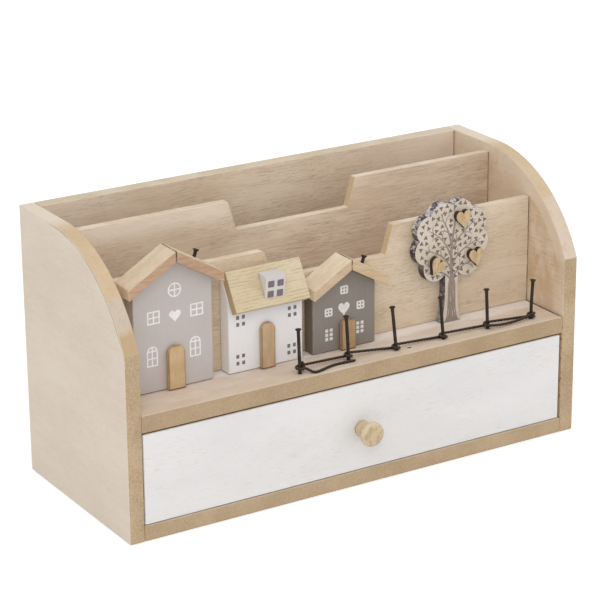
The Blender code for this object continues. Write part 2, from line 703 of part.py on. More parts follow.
def make_dormer(roof_foot, climb, paint):
    """A wedge whose face leans forward, its slanting back on the steep roof, and glued a little askew."""
    foot = roof_foot + climb * DORMER_RISE
    out = Vector((-climb.y, climb.x))
    head = Vector((-math.sin(DORMER_LEAN), math.cos(DORMER_LEAN))) * DORMER_HEIGHT
    slope = Vector((math.cos(DORMER_TOP_SLOPE), math.sin(DORMER_TOP_SLOPE)))
    reach = -head.dot(out) / slope.dot(out)
    section = [(0, 0), tuple(head), tuple(head + slope * reach)]
    centre = (WHITE_X + DORMER_SHIFT, foot.x, foot.y)
    askew = Matrix.Rotation(DORMER_TURN, 3, Vector((0, out.x, out.y)))
    turn = (askew @ Euler(UPRIGHT_ALONG).to_matrix()).to_euler()
    plate("white_house_dormer", section, DORMER_WIDTH, centre, turn, paint, CASE, DIVIDER_EASE)


def make_street(iron):
    grey = new_material("grey_paint", (0.48, 0.43, 0.40), 0.7)
    white = new_material("white_paint", (0.82, 0.81, 0.80), 0.7)
    dark = new_material("taupe_paint", (0.20, 0.175, 0.15), 0.7)
    pine = new_material("pale_pine", (0.73, 0.57, 0.36), 0.6)
    door = new_material("door_wood", (0.56, 0.38, 0.20), 0.6)
    grey_sizes = (GREY_X, GREY_WIDTH, GREY_RIDGE_HEIGHT, GREY_RIDGE_SHIFT, GREY_HALF_SPAN)
    dark_sizes = (DARK_X, DARK_WIDTH, DARK_RIDGE_HEIGHT, DARK_RIDGE_SHIFT, DARK_HALF_SPAN)
    make_gabled_house("grey_house", *grey_sizes, grey, pine, iron)
    make_white_house(white, pine)
    make_gabled_house("dark_house", *dark_sizes, dark, pine, iron)
    make_door("grey_house_door", GREY_X + GREY_DOOR_SHIFT, GREY_DOOR_WIDTH, GREY_DOOR_HEIGHT, 0.85, door)
    make_door("white_house_door", WHITE_X + WHITE_DOOR_SHIFT, WHITE_DOOR_WIDTH, WHITE_DOOR_HEIGHT, 1.0, door)
    make_door("dark_house_door", DARK_X + DARK_DOOR_SHIFT, DARK_DOOR_WIDTH, DARK_DOOR_HEIGHT, 0.55, door)


def tree_outline():
    """The trunk's right side, the crown's lobes anticlockwise, then the trunk's left side. The foot
    is at zero height."""
    middle = TREE_HEIGHT - CROWN_HEIGHT / 2
    reach = CROWN_WIDTH / 2 - LOBE_RADIUS
    rise = CROWN_HEIGHT / 2 - LOBE_RADIUS
    right = [Vector((reach * across, middle + rise * up)) for across, up in LOBE_SHARES]
    centres = right + [Vector((-centre.x, centre.y)) for centre in reversed(right)]
    trunk = TRUNK_WIDTH / 2
    fork = centres[0].y - math.sqrt(LOBE_RADIUS**2 - (centres[0].x - trunk) ** 2)
    valleys = [Vector((trunk, fork))]
    for here, there in zip(centres, centres[1:]):
        half = (there - here) / 2
        out = Vector((half.y, -half.x)).normalized()
        valleys.append(here + half + out * math.sqrt(LOBE_RADIUS**2 - half.length_squared))
    valleys.append(Vector((-trunk, fork)))
    crown = []
    for centre, start, end in zip(centres, valleys, valleys[1:]):
        from_turn = math.atan2(start.y - centre.y, start.x - centre.x)
        to_turn = math.atan2(end.y - centre.y, end.x - centre.x)
        sweep = (to_turn - from_turn) % math.tau
        crown += arc(centre, LOBE_RADIUS, from_turn, from_turn + sweep, 9)[:-1]
    flare = FOOT_WIDTH / 2 - trunk
    side = [(trunk + flare * (1 - i / 9) ** 4, fork * i / 9) for i in range(9)]
    other_side = [(-x, y) for x, y in reversed(side)]
    return [*side, *crown, (-trunk, fork), *other_side]


def heart_outline(tilt):
    """The usual heart curve, fitted to the heart's width and height, and tilted."""
    raw = []
    for i in range(32):
        t = math.tau * i / 32
        height = 13 * math.cos(t) - 5 * math.cos(2 * t) - 2 * math.cos(3 * t) - math.cos(4 * t)
        raw.append((-16 * math.sin(t) ** 3, height))
    wide = max(x for x, _ in raw) - min(x for x, _ in raw)
    top = max(y for _, y in raw)
    tall = top - min(y for _, y in raw)
    sized = [(HEART_WIDTH * x / wide, HEART_HEIGHT * ((y - top) / tall + 0.5)) for x, y in raw]
    cos, sin = math.cos(tilt), math.sin(tilt)
    return [(x * cos - y * sin, x * sin + y * cos) for x, y in sized]


def make_tree():
    face = new_material("printed_board", (0.60, 0.51, 0.42), 0.6)
    wood = new_material("heart_wood", (0.58, 0.42, 0.22), 0.6)
    middle = TREE_HEIGHT - CROWN_HEIGHT / 2
    centre = (TREE_X, TREE_FACE + TREE_BOARD / 2, STREET_FLOOR)
    plate("tree_board", tree_outline(), TREE_BOARD, centre, UPRIGHT_ACROSS, face, CASE, DIVIDER_EASE)
    for i, ((across, up), tilt) in enumerate(zip(HEART_PLACE_SHARES, HEART_TILTS)):
        place = (
            TREE_X + across * CROWN_WIDTH / 2,
            TREE_FACE - SEAT_GAP - HEART_BOARD / 2,
            STREET_FLOOR + middle + up * CROWN_HEIGHT / 2,
        )
        heart = heart_outline(tilt)
        plate(f"tree_heart_{i + 1}", heart, HEART_BOARD, place, UPRIGHT_ACROSS, wood, CASE, DIVIDER_EASE)


clear_scene()
PIECES = new_collection("letter_rack")
CUTTERS = new_collection("cutters")
CASE = bpy.data.objects.new("case", None)
DRAWER = bpy.data.objects.new("drawer_slide", None)
DRAWER.location = (DRAWER_LEFT_CLEARANCE - DRAWER_SIDE_PLAY / 2, FRONT, CASE_BOARD + DRAWER_FOOT_CLEARANCE)
for empty in (CASE, DRAWER):
    PIECES.objects.link(empty)
shelf_board = make_case()
make_drawer()
nail_iron = make_fence(shelf_board)
make_street(nail_iron)
make_tree()
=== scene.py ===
"""The looks of the wooden letter rack: materials, painted details, twisted twine, light and camera."""

import math
import random

import bmesh
import bpy
from mathutils import Matrix, Vector


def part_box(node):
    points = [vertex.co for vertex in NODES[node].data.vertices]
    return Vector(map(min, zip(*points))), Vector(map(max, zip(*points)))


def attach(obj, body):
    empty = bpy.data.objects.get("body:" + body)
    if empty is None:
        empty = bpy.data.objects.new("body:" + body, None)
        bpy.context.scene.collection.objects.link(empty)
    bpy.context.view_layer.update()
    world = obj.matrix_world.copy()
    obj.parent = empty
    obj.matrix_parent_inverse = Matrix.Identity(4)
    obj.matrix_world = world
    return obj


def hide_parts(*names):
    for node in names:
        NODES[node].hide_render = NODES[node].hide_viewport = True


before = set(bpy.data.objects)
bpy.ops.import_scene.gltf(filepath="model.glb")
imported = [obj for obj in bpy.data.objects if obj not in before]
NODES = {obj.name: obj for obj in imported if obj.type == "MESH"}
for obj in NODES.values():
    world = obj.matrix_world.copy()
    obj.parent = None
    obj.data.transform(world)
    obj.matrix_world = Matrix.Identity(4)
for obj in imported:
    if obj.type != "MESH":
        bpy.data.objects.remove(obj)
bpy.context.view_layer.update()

MM = 0.001

# Sizes of part.py that the looks repeat

RACK_WIDTH, RACK_DEPTH = 0.300, 0.122
CASE_BOARD, BAY_HEIGHT, SHELF_BOARD = 0.009, 0.0544, 0.010
FRONT = -RACK_DEPTH / 2
INNER_HALF = RACK_WIDTH / 2 - CASE_BOARD
SHELF_TOP = CASE_BOARD + BAY_HEIGHT + SHELF_BOARD
GAP = 0.0003
WHITE_PITCH, WHITE_SHOULDER, WHITE_EAVE, ROOF_BOARD = math.radians(60), 0.1174, 0.0085, 0.0055
DORMER_RISE, DORMER_SHIFT = 0.0044, 0.0017
DORMER_LEAN, DORMER_TURN = math.radians(5.5), math.radians(-1.6)

# Camera, light and floor

CAMERA_PLACE = (-0.70196012, -1.13482767, 0.57716171)
CAMERA_TURN = (1.22293246, 0.00769307, -0.55446151)
CAMERA_LENS, CAMERA_SENSOR = 147.217613, 36.0
CAMERA_NEAR, CAMERA_FAR = 0.05, 50

LAMP_AIM = (0, 0, 0.08)
LAMPS = (
    ("key", (-0.9, -1.3, 1.3), 1.1, 9.0),
    ("fill", (1.4, -1.1, 0.9), 1.2, 4.0),
    ("top", (0.1, 0.2, 1.7), 1.4, 0.8),
)
WORLD_LEVEL = 0.80
WHITE = (1, 1, 1, 1)
FLOOR_GLOW, FLOOR_HALF, FLOOR_DROP, FLOOR_LEVEL = 0.30, 8, 0.0002, 246


def srgb(*levels):
    """A colour given as 0 to 255 levels, as the shaders take it."""
    found = []
    for level in levels:
        share = level / 255
        found.append(share / 12.92 if share <= 0.04045 else ((share + 0.055) / 1.055) ** 2.4)
    return (*found, 1.0)


def add(name, data):
    made = bpy.data.objects.new(name, data)
    bpy.context.scene.collection.objects.link(made)
    return made


def add_node(tree, kind, values, output=0, **settings):
    """A new shader node's output; its inputs take sockets or plain values alike."""
    made = tree.nodes.new("ShaderNode" + kind)
    for key, value in settings.items():
        setattr(made, key, value)
    for key, value in values.items():
        if isinstance(value, bpy.types.NodeSocket):
            tree.links.new(value, made.inputs[key])
        else:
            made.inputs[key].default_value = value
    return made.outputs[output]


def make_camera():
    data = bpy.data.cameras.new("photo_camera")
    data.lens, data.sensor_width = CAMERA_LENS, CAMERA_SENSOR
    data.clip_start, data.clip_end = CAMERA_NEAR, CAMERA_FAR
    camera = add("photo_camera", data)
    camera.location = CAMERA_PLACE
    camera.rotation_euler = CAMERA_TURN
    bpy.context.scene.camera = camera


def mesh_of(name, bm):
    """A mesh made of a finished bmesh."""
    mesh = bpy.data.meshes.new(name)
    bm.to_mesh(mesh)
    bm.free()
    return mesh


def make_studio():
    """Soft light from a pale room, with a large lamp at the front left and two weaker ones."""
    scene = bpy.context.scene
    scene.view_settings.view_transform = "Standard"
    scene.world = bpy.data.worlds.new("studio")
    scene.world.use_nodes = True
    tree = scene.world.node_tree
    room = tree.nodes["Background"]
    room.inputs["Color"].default_value = WHITE
    room.inputs["Strength"].default_value = WORLD_LEVEL
    seen = add_node(tree, "Background", {"Color": WHITE})
    seen_by = 0.0
    for kind in ("Is Camera Ray", "Is Glossy Ray", "Is Transmission Ray"):
        ray = add_node(tree, "LightPath", {}, kind)
        seen_by = add_node(tree, "Math", {0: seen_by, 1: ray}, operation="MAXIMUM")
    pick = add_node(tree, "MixShader", {0: seen_by, 1: room.outputs[0], 2: seen})
    tree.links.new(pick, tree.nodes["World Output"].inputs["Surface"])
    for name, place, size, power in LAMPS:
        data = bpy.data.lights.new(name, "AREA")
        data.shape = "SQUARE"
        data.size = size
        data.energy = power
        light = add(name, data)
        light.location = place
        light.rotation_euler = (Vector(LAMP_AIM) - Vector(place)).to_track_quat("-Z", "Y").to_euler()


# Materials, whose colours are 0 to 255 levels. A bump is given by its depth in metres and strength

AXES = {"x": 0, "y": 1, "z": 2}
BOARD_ROUGHNESS, GRAIN_RELIEF, EDGED_RELIEF = 0.62, (0.00014, 0.7), (0.00012, 0.6)


class Shader:
    """A material's node tree, with short calls that take sockets or plain values alike."""

    def __init__(self, name, roughness=0.6, metallic=0.0, specular=0.35):
        self.material = bpy.data.materials.new(name)
        self.material.use_nodes = True
        self.tree = self.material.node_tree
        self.out = self.tree.nodes["Principled BSDF"]
        self.out.inputs["Roughness"].default_value = roughness
        self.out.inputs["Metallic"].default_value = metallic
        self.out.inputs["Specular IOR Level"].default_value = specular
        coords = self.tree.nodes.new("ShaderNodeTexCoord").outputs
        self.place = coords["Object"]
        self.xyz = self.split(self.place)
        self.x, self.y, self.z = self.xyz
        self.normal = self.split(coords["Normal"])

    def split(self, socket):
        made = self.tree.nodes.new("ShaderNodeSeparateXYZ")
        self.tree.links.new(socket, made.inputs[0])
        return made.outputs

    def node(self, kind, values, output=0, **settings):
        return add_node(self.tree, kind, values, output, **settings)

    def math(self, operation, a, b=0.0, c=0.0):
        return self.node("Math", {0: a, 1: b, 2: c}, operation=operation)

    def times(self, a, b):
        return self.math("MULTIPLY", a, b)

    def plus(self, base, a, share):
        """A base and a share of a."""
        return self.math("MULTIPLY_ADD", a, share, base)

    def less(self, a, b):
        return self.math("SUBTRACT", a, b)

    def off(self, a, b):
        """How far a is from b, either way."""
        return self.math("ABSOLUTE", self.less(a, b))

    def most(self, a, b):
        return self.math("MAXIMUM", a, b)

    def step(self, value, start, end, low=0.0, high=1.0):
        """A soft step from low to high as value goes from start to end."""
        values = {"Value": value, "From Min": start, "From Max": end, "To Min": low, "To Max": high}
        return self.node("MapRange", values, interpolation_type="SMOOTHSTEP")

    def fall(self, value, start, end, high=1.0):
        """A soft step down from high to 0."""
        return self.step(value, start, end, high, 0.0)

    def band(self, value, start, end, soft):
        """1 between start and end, and 0 outside, with soft sides."""
        rise = self.step(value, start - soft, start + soft)
        return self.times(rise, self.fall(value, end - soft, end + soft))

    def mix(self, share, a, b):
        values = {0: share}
        for key, value in ((6, a), (7, b)):
            values[key] = srgb(*value) if isinstance(value, tuple) else value
        return self.node("Mix", values, 2, data_type="RGBA")

    def ramp(self, value, start, end, a, b):
        """Colour a up to start, b from end on, and a soft change between them."""
        return self.mix(self.step(value, start, end), a, b)

    def lay(self, base, colour, share, strength):
        """A colour laid over a base as far as a share times a strength goes."""
        return self.mix(self.times(share, strength), base, colour)

    def noise(self, scale, stretch=(1, 1, 1), detail=2.0, rough=0.5, shift=(0, 0, 0), bend=0.0):
        moved = self.node("VectorMath", {0: self.place, 1: shift}, operation="ADD")
        values = {
            "Vector": self.node("VectorMath", {0: moved, 1: stretch}, operation="MULTIPLY"),
            "Scale": scale,
            "Detail": detail,
            "Roughness": rough,
            "Distortion": bend,
        }
        return self.node("TexNoise", values)

    def specks(self, scale, *others):
        """Noise that isn't stretched."""
        return self.noise(scale, (1, 1, 1), *others)

    def grain(self, axis, scale, across, *others):
        """Noise drawn out along an axis, by how far it is squeezed across it."""
        return self.noise(scale, tuple(1.0 if i == AXES[axis] else across for i in range(3)), *others)

    def facing(self, axis, low=0.6, high=0.8):
        """1 where the surface faces along an axis, either way."""
        return self.step(self.math("ABSOLUTE", self.normal[AXES[axis]]), low, high)

    def edges(self, box, width):
        """1 at a board's edges and 0 inside its faces, for a board that fills a box."""
        low, high = box
        near = []
        for i in range(3):
            half = (high[i] - low[i]) / 2
            near.append(self.step(self.off(self.xyz[i], (low[i] + high[i]) / 2), half - width, half))
        a, b, c = near
        inner = self.math("MINIMUM", self.most(a, b), c)
        return self.most(self.math("MINIMUM", a, b), inner)

    def bump(self, height, distance, strength=1.0):
        values = {"Height": height, "Distance": distance, "Strength": strength}
        self.tree.links.new(self.node("Bump", values), self.out.inputs["Normal"])

    def colour(self, socket):
        self.tree.links.new(socket, self.out.inputs["Base Color"])

    def roughness(self, socket):
        self.tree.links.new(socket, self.out.inputs["Roughness"])

    def give(self, *names):
        for name in names:
            piece = NODES[name] if name in NODES else bpy.data.objects[name]
            piece.data.materials.clear()
            piece.data.materials.append(self.material)


def veneer(s, axis, light, dark, pore, pores=0.35, shift=(0, 0, 0), lines=0.3):
    """Limed wood: soft tones drawn out along the grain, thin broken lines and short dark pores.
    Returns its colour and its height."""
    cloud = s.grain(axis, 13, 1.8, 3, 0.6, shift)
    streak = s.grain(axis, 24, 11, 3, 0.65, shift)
    fibre = s.grain(axis, 120, 18, 3, 0.75, shift)
    tone = s.plus(s.times(streak, 0.20), cloud, 0.40)
    tone = s.plus(tone, fibre, 0.40)
    colour = s.ramp(tone, 0.40, 0.60, light, dark)
    others = [s.xyz[i] for i in range(3) if i != AXES[axis]]
    level = s.grain(axis, 8, 2.5, 3, 0.55, shift)
    place = s.times(s.math("ADD", *others), 420.0)
    bands = s.math("FRACT", s.plus(place, level, 9.0))
    line = s.fall(s.off(bands, 0.5), 0.01, 0.08)
    broken = s.grain(axis, 55, 6, 3, 0.75, shift)
    line = s.times(line, s.step(broken, 0.48, 0.60))
    colour = s.lay(colour, pore, line, lines)
    dash = s.grain(axis, 170, 12, 2, 0.6, shift)
    gate = s.step(s.grain(axis, 24, 3, 2, 0.5, shift), 0.34, 0.60)
    tick = s.grain(axis, 360, 4, 2, 0.6, shift)
    ticks = s.times(s.step(tick, 0.56, 0.70), 0.6)
    marks = s.times(s.most(s.step(dash, 0.56, 0.68), ticks), gate)
    colour = s.lay(colour, pore, marks, pores)
    height = s.less(s.times(fibre, 0.5), s.most(marks, line))
    return colour, height


MDF = (195, 171, 140)
MDF_DARK = (169, 144, 112)
BAND_YELLOW = (209, 187, 157)


def raw_edge(s, base=MDF, dark=MDF_DARK):
    """Fibreboard: fine specks, no grain."""
    speck = s.specks(900, 3, 0.7)
    cloud = s.specks(45, 3, 0.6)
    tone = s.plus(s.times(speck, 0.6), cloud, 0.4)
    return s.ramp(tone, 0.38, 0.62, base, dark), speck


SIDE_LIGHT = (225, 212, 197)
SIDE_DARK = (219, 204, 186)
SIDE_PORE = (192, 170, 146)
CURVE_Y, CURVE_Z, CURVE_RADIUS = 0.019, 0.0734615, 0.0875385
CURVE_FOOT, CURVE_END = (0.1087, 0.1093), (0.040, 0.045)


def side_material(name, out, band_low, band_high, band_soft, limed_band, foot):
    """A side board: limed faces with the grain front to back, and an edge strip on its curve, which
    is raw fibreboard in front, limed on the curve's foot and yellower above."""
    s = Shader(name + "_finish", BOARD_ROUGHNESS)
    outer, relief = veneer(s, "y", SIDE_LIGHT, SIDE_DARK, SIDE_PORE, 0.20, lines=0.12)
    inner, _ = veneer(s, "y", (224, 206, 182), (206, 179, 146), (166, 132, 102), 0.40, (0.3, 0.1, 0.2))
    # painted light: the inner faces turn lighter towards the back
    inner = s.lay(inner, (246, 228, 204), s.step(s.y, -0.026, -0.018), 0.4)
    amber = s.step(s.noise(34, (1, 2.2, 1), 3, 0.65, (0.2, 0.6, 0.1)), 0.50, 0.66)
    inner = s.lay(inner, (204, 165, 114), amber, 0.6)
    pale = s.step(s.noise(48, (1, 1.6, 1), 3, 0.65, (0.7, 0.2, 0.4)), 0.52, 0.66)
    inner = s.lay(inner, (232, 214, 192), pale, 0.5)
    inner = s.mix(s.fall(s.z, 0.078, 0.092, 0.28), inner, (238, 222, 206))
    speckle = s.step(s.specks(430, 2, 0.6), 0.56, 0.66)
    bay_wood_and_shade = s.lay((214, 188, 152), (98, 74, 54), speckle, 0.7)
    # speckled raw board at the front, with painted shade deeper than 10 mm into the drawer bay
    bay_wood_and_shade = s.ramp(s.y, FRONT + 0.004, FRONT + 0.010, bay_wood_and_shade, (112, 90, 68))
    inner = s.mix(s.fall(s.z, SHELF_TOP - GAP, SHELF_TOP), inner, bay_wood_and_shade)
    y, z = s.less(s.y, CURVE_Y), s.less(s.z, CURVE_Z)
    depth = s.less(CURVE_RADIUS, s.math("SQRT", s.plus(s.times(y, y), z, z)))
    front_part = s.fall(s.y, 0.010, 0.030)
    high_part = s.step(s.z, 0.100, 0.112)
    curved = s.times(front_part, high_part)
    wander = s.specks(60, 2, 0.5)
    limed = s.fall(s.plus(depth, wander, 0.006), 0.010, 0.0125)
    limed = s.times(limed, curved)
    inner = s.lay(inner, (224, 206, 184), limed, 0.7)
    seam = s.band(depth, 0.00055, 0.00105, 0.0002)
    seam = s.times(seam, s.step(s.noise(34), 0.36, 0.55, 0.35, 0.9))
    seam = s.times(seam, curved)
    outer = s.mix(seam, outer, (142, 116, 84))
    outside = s.step(s.times(s.normal[0], out), -0.2, 0.2)
    face = s.mix(outside, inner, outer)
    raw, speck = raw_edge(s)
    smear = s.plus(s.z, s.specks(70, 3, 0.6), 0.012)
    strip = s.ramp(s.specks(30, 3, 0.6), 0.35, 0.65, BAND_YELLOW, (205, 179, 145))
    strip = s.mix(s.fall(smear, band_low + 0.003, band_low + 0.009), strip, foot)
    white = s.band(smear, band_low + 0.006, band_high + 0.006, band_soft)
    strip = s.mix(white, strip, limed_band)
    fleck = s.step(s.specks(320, 3, 0.7), 0.50, 0.66)
    strip = s.lay(strip, (180, 156, 122), fleck, 0.25)
    top = s.step(s.y, 0.005, 0.028)
    strip = s.mix(top, strip, (224, 210, 191))
    finished = s.most(s.step(s.z, *CURVE_FOOT), s.step(s.y, *CURVE_END))
    edge = s.mix(finished, raw, strip)
    s.colour(s.mix(s.facing("x", 0.5, 0.75), edge, face))
    s.roughness(s.step(speck, 0.3, 0.7, 0.55, 0.72))
    s.bump(s.plus(relief, speck, 0.3), *EDGED_RELIEF)
    s.give(name)


def board_ends(s, face, half, contact_shade=(104, 80, 60), width=0.0003):
    """A dark line of painted shade where a board meets the right side."""
    near = s.step(s.x, half - width - 0.0002, half - width)
    broken = s.step(s.noise(90), 0.32, 0.50, 0.35, 1.0)
    return s.lay(face, contact_shade, near, broken)


def case_materials():
    side_material("left_side", -1.0, 0.121, 0.135, 0.003, (200, 184, 166), (190, 163, 128))
    side_material("right_side", 1.0, 0.105, 0.139, 0.002, (212, 194, 174), (190, 163, 128))

    boards = (
        ("shelf_board", (183, 158, 128), (167, 142, 111), (0, 0, 0)),
        ("bottom_board", (190, 166, 136), (174, 150, 119), (0.4, 0.2, 0)),
    )
    for name, edge, edge_dark, shift in boards:
        s = Shader(name + "_finish", BOARD_ROUGHNESS)
        face, relief = veneer(s, "x", (230, 215, 200), (219, 200, 183), (184, 156, 132), 0.30, shift, 0.25)
        lime = s.step(s.noise(24, (1, 2.2, 1), 3, 0.65, (0.5, 0.2, 0)), 0.46, 0.66)
        face = s.lay(face, (238, 226, 218), lime, 0.6)
        warm = s.step(s.noise(34, (1, 2, 1), 3, 0.6, (0.1, 0.7, 0)), 0.54, 0.70)
        face = s.lay(face, (222, 196, 166), warm, 0.45)
        behind = s.step(s.plus(s.y, lime, 0.003), -0.037, -0.031)
        face = s.lay(face, (250, 242, 236), behind, 0.75)
        before = s.fall(s.plus(s.y, lime, 0.003), -0.052, -0.047)
        face = s.lay(face, (212, 190, 160), before, 0.42)
        # painted shade: a dark line where the shelf and bottom board meet the right side
        face = board_ends(s, face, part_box(name)[1].x, (50, 37, 28), 0.0009)
        raw, speck = raw_edge(s, edge, edge_dark)
        raw = s.mix(s.facing("x"), raw, (214, 188, 152))
        s.colour(s.mix(s.facing("z", 0.5, 0.75), raw, face))
        s.roughness(s.step(speck, 0.3, 0.7, 0.55, 0.72))
        s.bump(s.plus(relief, speck, 0.3), *EDGED_RELIEF)
        s.give(name)

    s = Shader("back_finish", BOARD_ROUGHNESS)
    light, dark, pore = (221, 204, 182), (203, 180, 154), (148, 120, 98)
    inner, relief = veneer(s, "x", light, dark, pore, 0.45, (0.1, 0, 0.4), 0.6)
    # painted light: the inner face turns lighter towards the right
    inner = s.mix(s.step(s.x, 0.02, 0.14, 0.0, 0.6), inner, (244, 228, 210))
    inner = s.mix(s.fall(s.x, -0.12, -0.03, 0.28), inner, (232, 220, 207))
    # painted shade: a dark line where the back panel meets the right side
    inner = board_ends(s, inner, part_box("back_panel")[1].x)
    outer, _ = veneer(s, "x", SIDE_LIGHT, SIDE_DARK, SIDE_PORE, 0.35, (0.7, 0, 0.1))
    face = s.ramp(s.normal[1], -0.2, 0.2, inner, outer)
    rim = s.ramp(s.specks(40, 2), 0.4, 0.62, (214, 199, 177), (206, 188, 161))
    s.colour(s.mix(s.facing("y", 0.5, 0.75), rim, face))
    s.bump(relief, *GRAIN_RELIEF)
    s.give("back_panel")

    tones = {
        "rear_divider": ((226, 208, 187), (204, 180, 156), (150, 120, 98), (0.9, 0.3, 0.2)),
        "front_divider": ((219, 200, 176), (203, 181, 153), (158, 128, 100), (0.2, 0.8, 0.6)),
    }
    for name, (light, dark, pore, shift) in tones.items():
        s = Shader(name + "_finish", BOARD_ROUGHNESS)
        face, relief = veneer(s, "x", light, dark, pore, 0.42, shift, 0.55)
        if name == "front_divider":
            face = s.mix(s.step(s.x, 0.095, 0.135, 0.0, 0.22), face, (236, 222, 204))
            # painted shade: a dark line where the front divider meets the right side
            face = board_ends(s, face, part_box(name)[1].x, (84, 64, 46), 0.0004)
        else:
            left = s.fall(s.x, -0.06, -0.02)
            high = s.step(s.z, 0.140, 0.152)
            face = s.lay(face, (204, 182, 156), left, 0.35)
            face = s.lay(face, (240, 226, 208), s.times(left, high), 0.7)
            # painted shade: a dark line where the rear divider meets the right side
            face = board_ends(s, face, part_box(name)[1].x)
        rim = s.ramp(s.specks(45, 2), 0.4, 0.62, (224, 208, 188), (214, 193, 167))
        steep = s.step(s.math("ABSOLUTE", s.normal[0]), 0.5, 0.8)
        rim = s.mix(steep, rim, (205, 180, 144))
        s.colour(s.mix(s.facing("y", 0.5, 0.75), rim, face))
        s.bump(relief, *GRAIN_RELIEF)
        s.give(name)


def painted(name, paint, worn, grain, wear, lines, sides, foot):
    """Thin matt paint over wood: grain shows faintly, the edges are rubbed, a colour given for the side
    faces is painted light and shade on them, and painted shade lies at the foot.
    """
    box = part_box(name)
    s = Shader(name + "_finish", 0.55)
    fibre = s.grain("z", 60, 22, 3, 0.6)
    cloud = s.specks(50, 2, 0.5)
    # the side faces take their own colour as painted light and shade
    base = s.mix(s.facing("x") if sides else 0.0, paint, sides or paint)
    base = s.lay(base, grain, s.step(fibre, 0.35, 0.70), lines)
    base = s.lay(base, grain, s.step(cloud, 0.3, 0.7), 0.10)
    near = s.edges(box, 0.0009)
    rough = s.specks(420, 3, 0.7)
    rubbed = s.step(s.plus(near, rough, 1.1), 1.18, 1.45)
    base = s.lay(base, worn, rubbed, wear)
    # painted shade along the foot of the piece
    low = s.fall(s.z, box[0].z + 0.0003, box[0].z + 0.0007)
    contact_shade = s.times(low, s.step(s.noise(160, (1, 1, 0.2)), 0.35, 0.55, foot * 0.4, foot))
    base = s.mix(contact_shade, base, (84, 70, 60))
    s.colour(base)
    s.roughness(s.step(cloud, 0.3, 0.7, 0.49, 0.63))
    s.bump(fibre, 0.0001, 0.6)
    s.give(name)


def drawer_materials():
    s = Shader("drawer_front_finish", 0.6)
    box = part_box("drawer_front")
    cloud = s.grain("x", 14, 3, 2, 0.5)
    base = s.ramp(cloud, 0.3, 0.7, (228, 226, 225), (222, 220, 219))
    dash = s.grain("x", 140, 9, 3, 0.6, (0.2, 0, 0.5))
    tick = s.grain("x", 400, 4, 2, 0.6)
    gate = s.step(s.grain("x", 20, 3, 2, 0.5, (0.6, 0, 0.1)), 0.36, 0.62)
    marks = s.times(s.step(dash, 0.56, 0.68), gate)
    base = s.lay(base, (196, 189, 181), marks, 0.38)
    base = s.mix(s.step(tick, 0.55, 0.70, 0.0, 0.22), base, (200, 194, 188))
    fibre = s.grain("x", 120, 22, 2, 0.6)
    base = s.lay(base, (206, 200, 193), s.step(fibre, 0.4, 0.7), 0.10)
    near = s.edges(box, 0.0010)
    rubbed = s.step(s.plus(near, s.specks(300, 3, 0.7), 1.0), 1.20, 1.45)
    base = s.lay(base, (196, 178, 152), rubbed, 0.45)
    # The top and side edges behind the paint's wrap are raw fibreboard, kept darker than the fibreboard
    # elsewhere as painted shade in the gaps round the drawer front.
    deep = s.step(s.y, box[0].y + 0.0011, box[0].y + 0.0015)
    raw = s.times(s.most(s.facing("x"), s.facing("z")), deep)
    s.colour(s.mix(raw, base, (160, 135, 104)))
    s.bump(s.less(s.times(fibre, 0.4), marks), 0.0001, 0.5)
    s.give("drawer_front")

    rows = (
        (("drawer_left_wall", "drawer_right_wall"), "y", (216, 194, 160)),
        (("drawer_back",), "x", (214, 190, 155)),
        (("drawer_base",), "x", (206, 182, 146)),
    )
    for names, axis, light in rows:
        s = Shader(names[0] + "_finish", 0.68)
        dark = tuple(level - 22 for level in light)
        face, relief = veneer(s, axis, light, dark, (158, 126, 88), 0.35, (0.4, 0.4, 0.1))
        s.colour(face)
        s.bump(relief, *GRAIN_RELIEF)
        s.give(*names)


def pine(name, axis, light, dark, lines, scale, shift, front=None, seam=None, box=None):
    """Bare pale wood, its growth lines drawn out along the grain, darker in front if asked, with a dark
    line where it meets a neighbour at x = seam. In a box it has dark rims and painted shade along its
    foot."""
    s = Shader(name + "_finish", 0.6)
    wobble = s.grain(axis, 45 * scale, 4, 2, 0.5, shift)
    ring = s.grain(axis, 75 * scale, 13, 3, 0.6, shift, 0.8)
    fibre = s.grain(axis, 260 * scale, 12, 2, 0.6, shift)
    base = s.ramp(wobble, 0.3, 0.7, light, tuple((a + b) // 2 for a, b in zip(light, dark)))
    base = s.lay(base, dark, s.step(ring, 0.5, 0.68), lines)
    base = s.lay(base, dark, s.step(fibre, 0.45, 0.7), 0.25)
    if front:
        pink = s.ramp(ring, 0.35, 0.7, front, tuple(level - 18 for level in front))
        pink = s.lay(pink, tuple(level - 34 for level in front), s.step(fibre, 0.5, 0.68), 0.4)
        base = s.mix(s.fall(s.normal[1], -0.8, -0.5), base, pink)
    broken = s.step(s.specks(190, 3, 0.7), 0.36, 0.52, 0.25, 0.9)
    if seam:
        near = s.fall(s.off(s.x, seam), 0.00035, 0.0006)
        base = s.lay(base, (118, 88, 62), near, broken)
    if box:
        streak = s.step(s.grain("z", 150, 0.12, 2, 0.6, shift), 0.36, 0.64)
        base = s.lay(base, (178, 156, 106), streak, 0.5)
        rim = s.step(s.edges(box, 0.0012), 0.2, 0.9)
        base = s.lay(base, (112, 84, 50), rim, 0.6)
        # painted shade along the foot of the piece
        near = s.fall(s.z, box[0].z + 0.0003, box[0].z + 0.0009)
        base = s.lay(base, (92, 64, 40), near, broken)
    s.colour(base)
    s.bump(s.plus(fibre, ring, 0.5), 0.0001, 0.6)
    return s


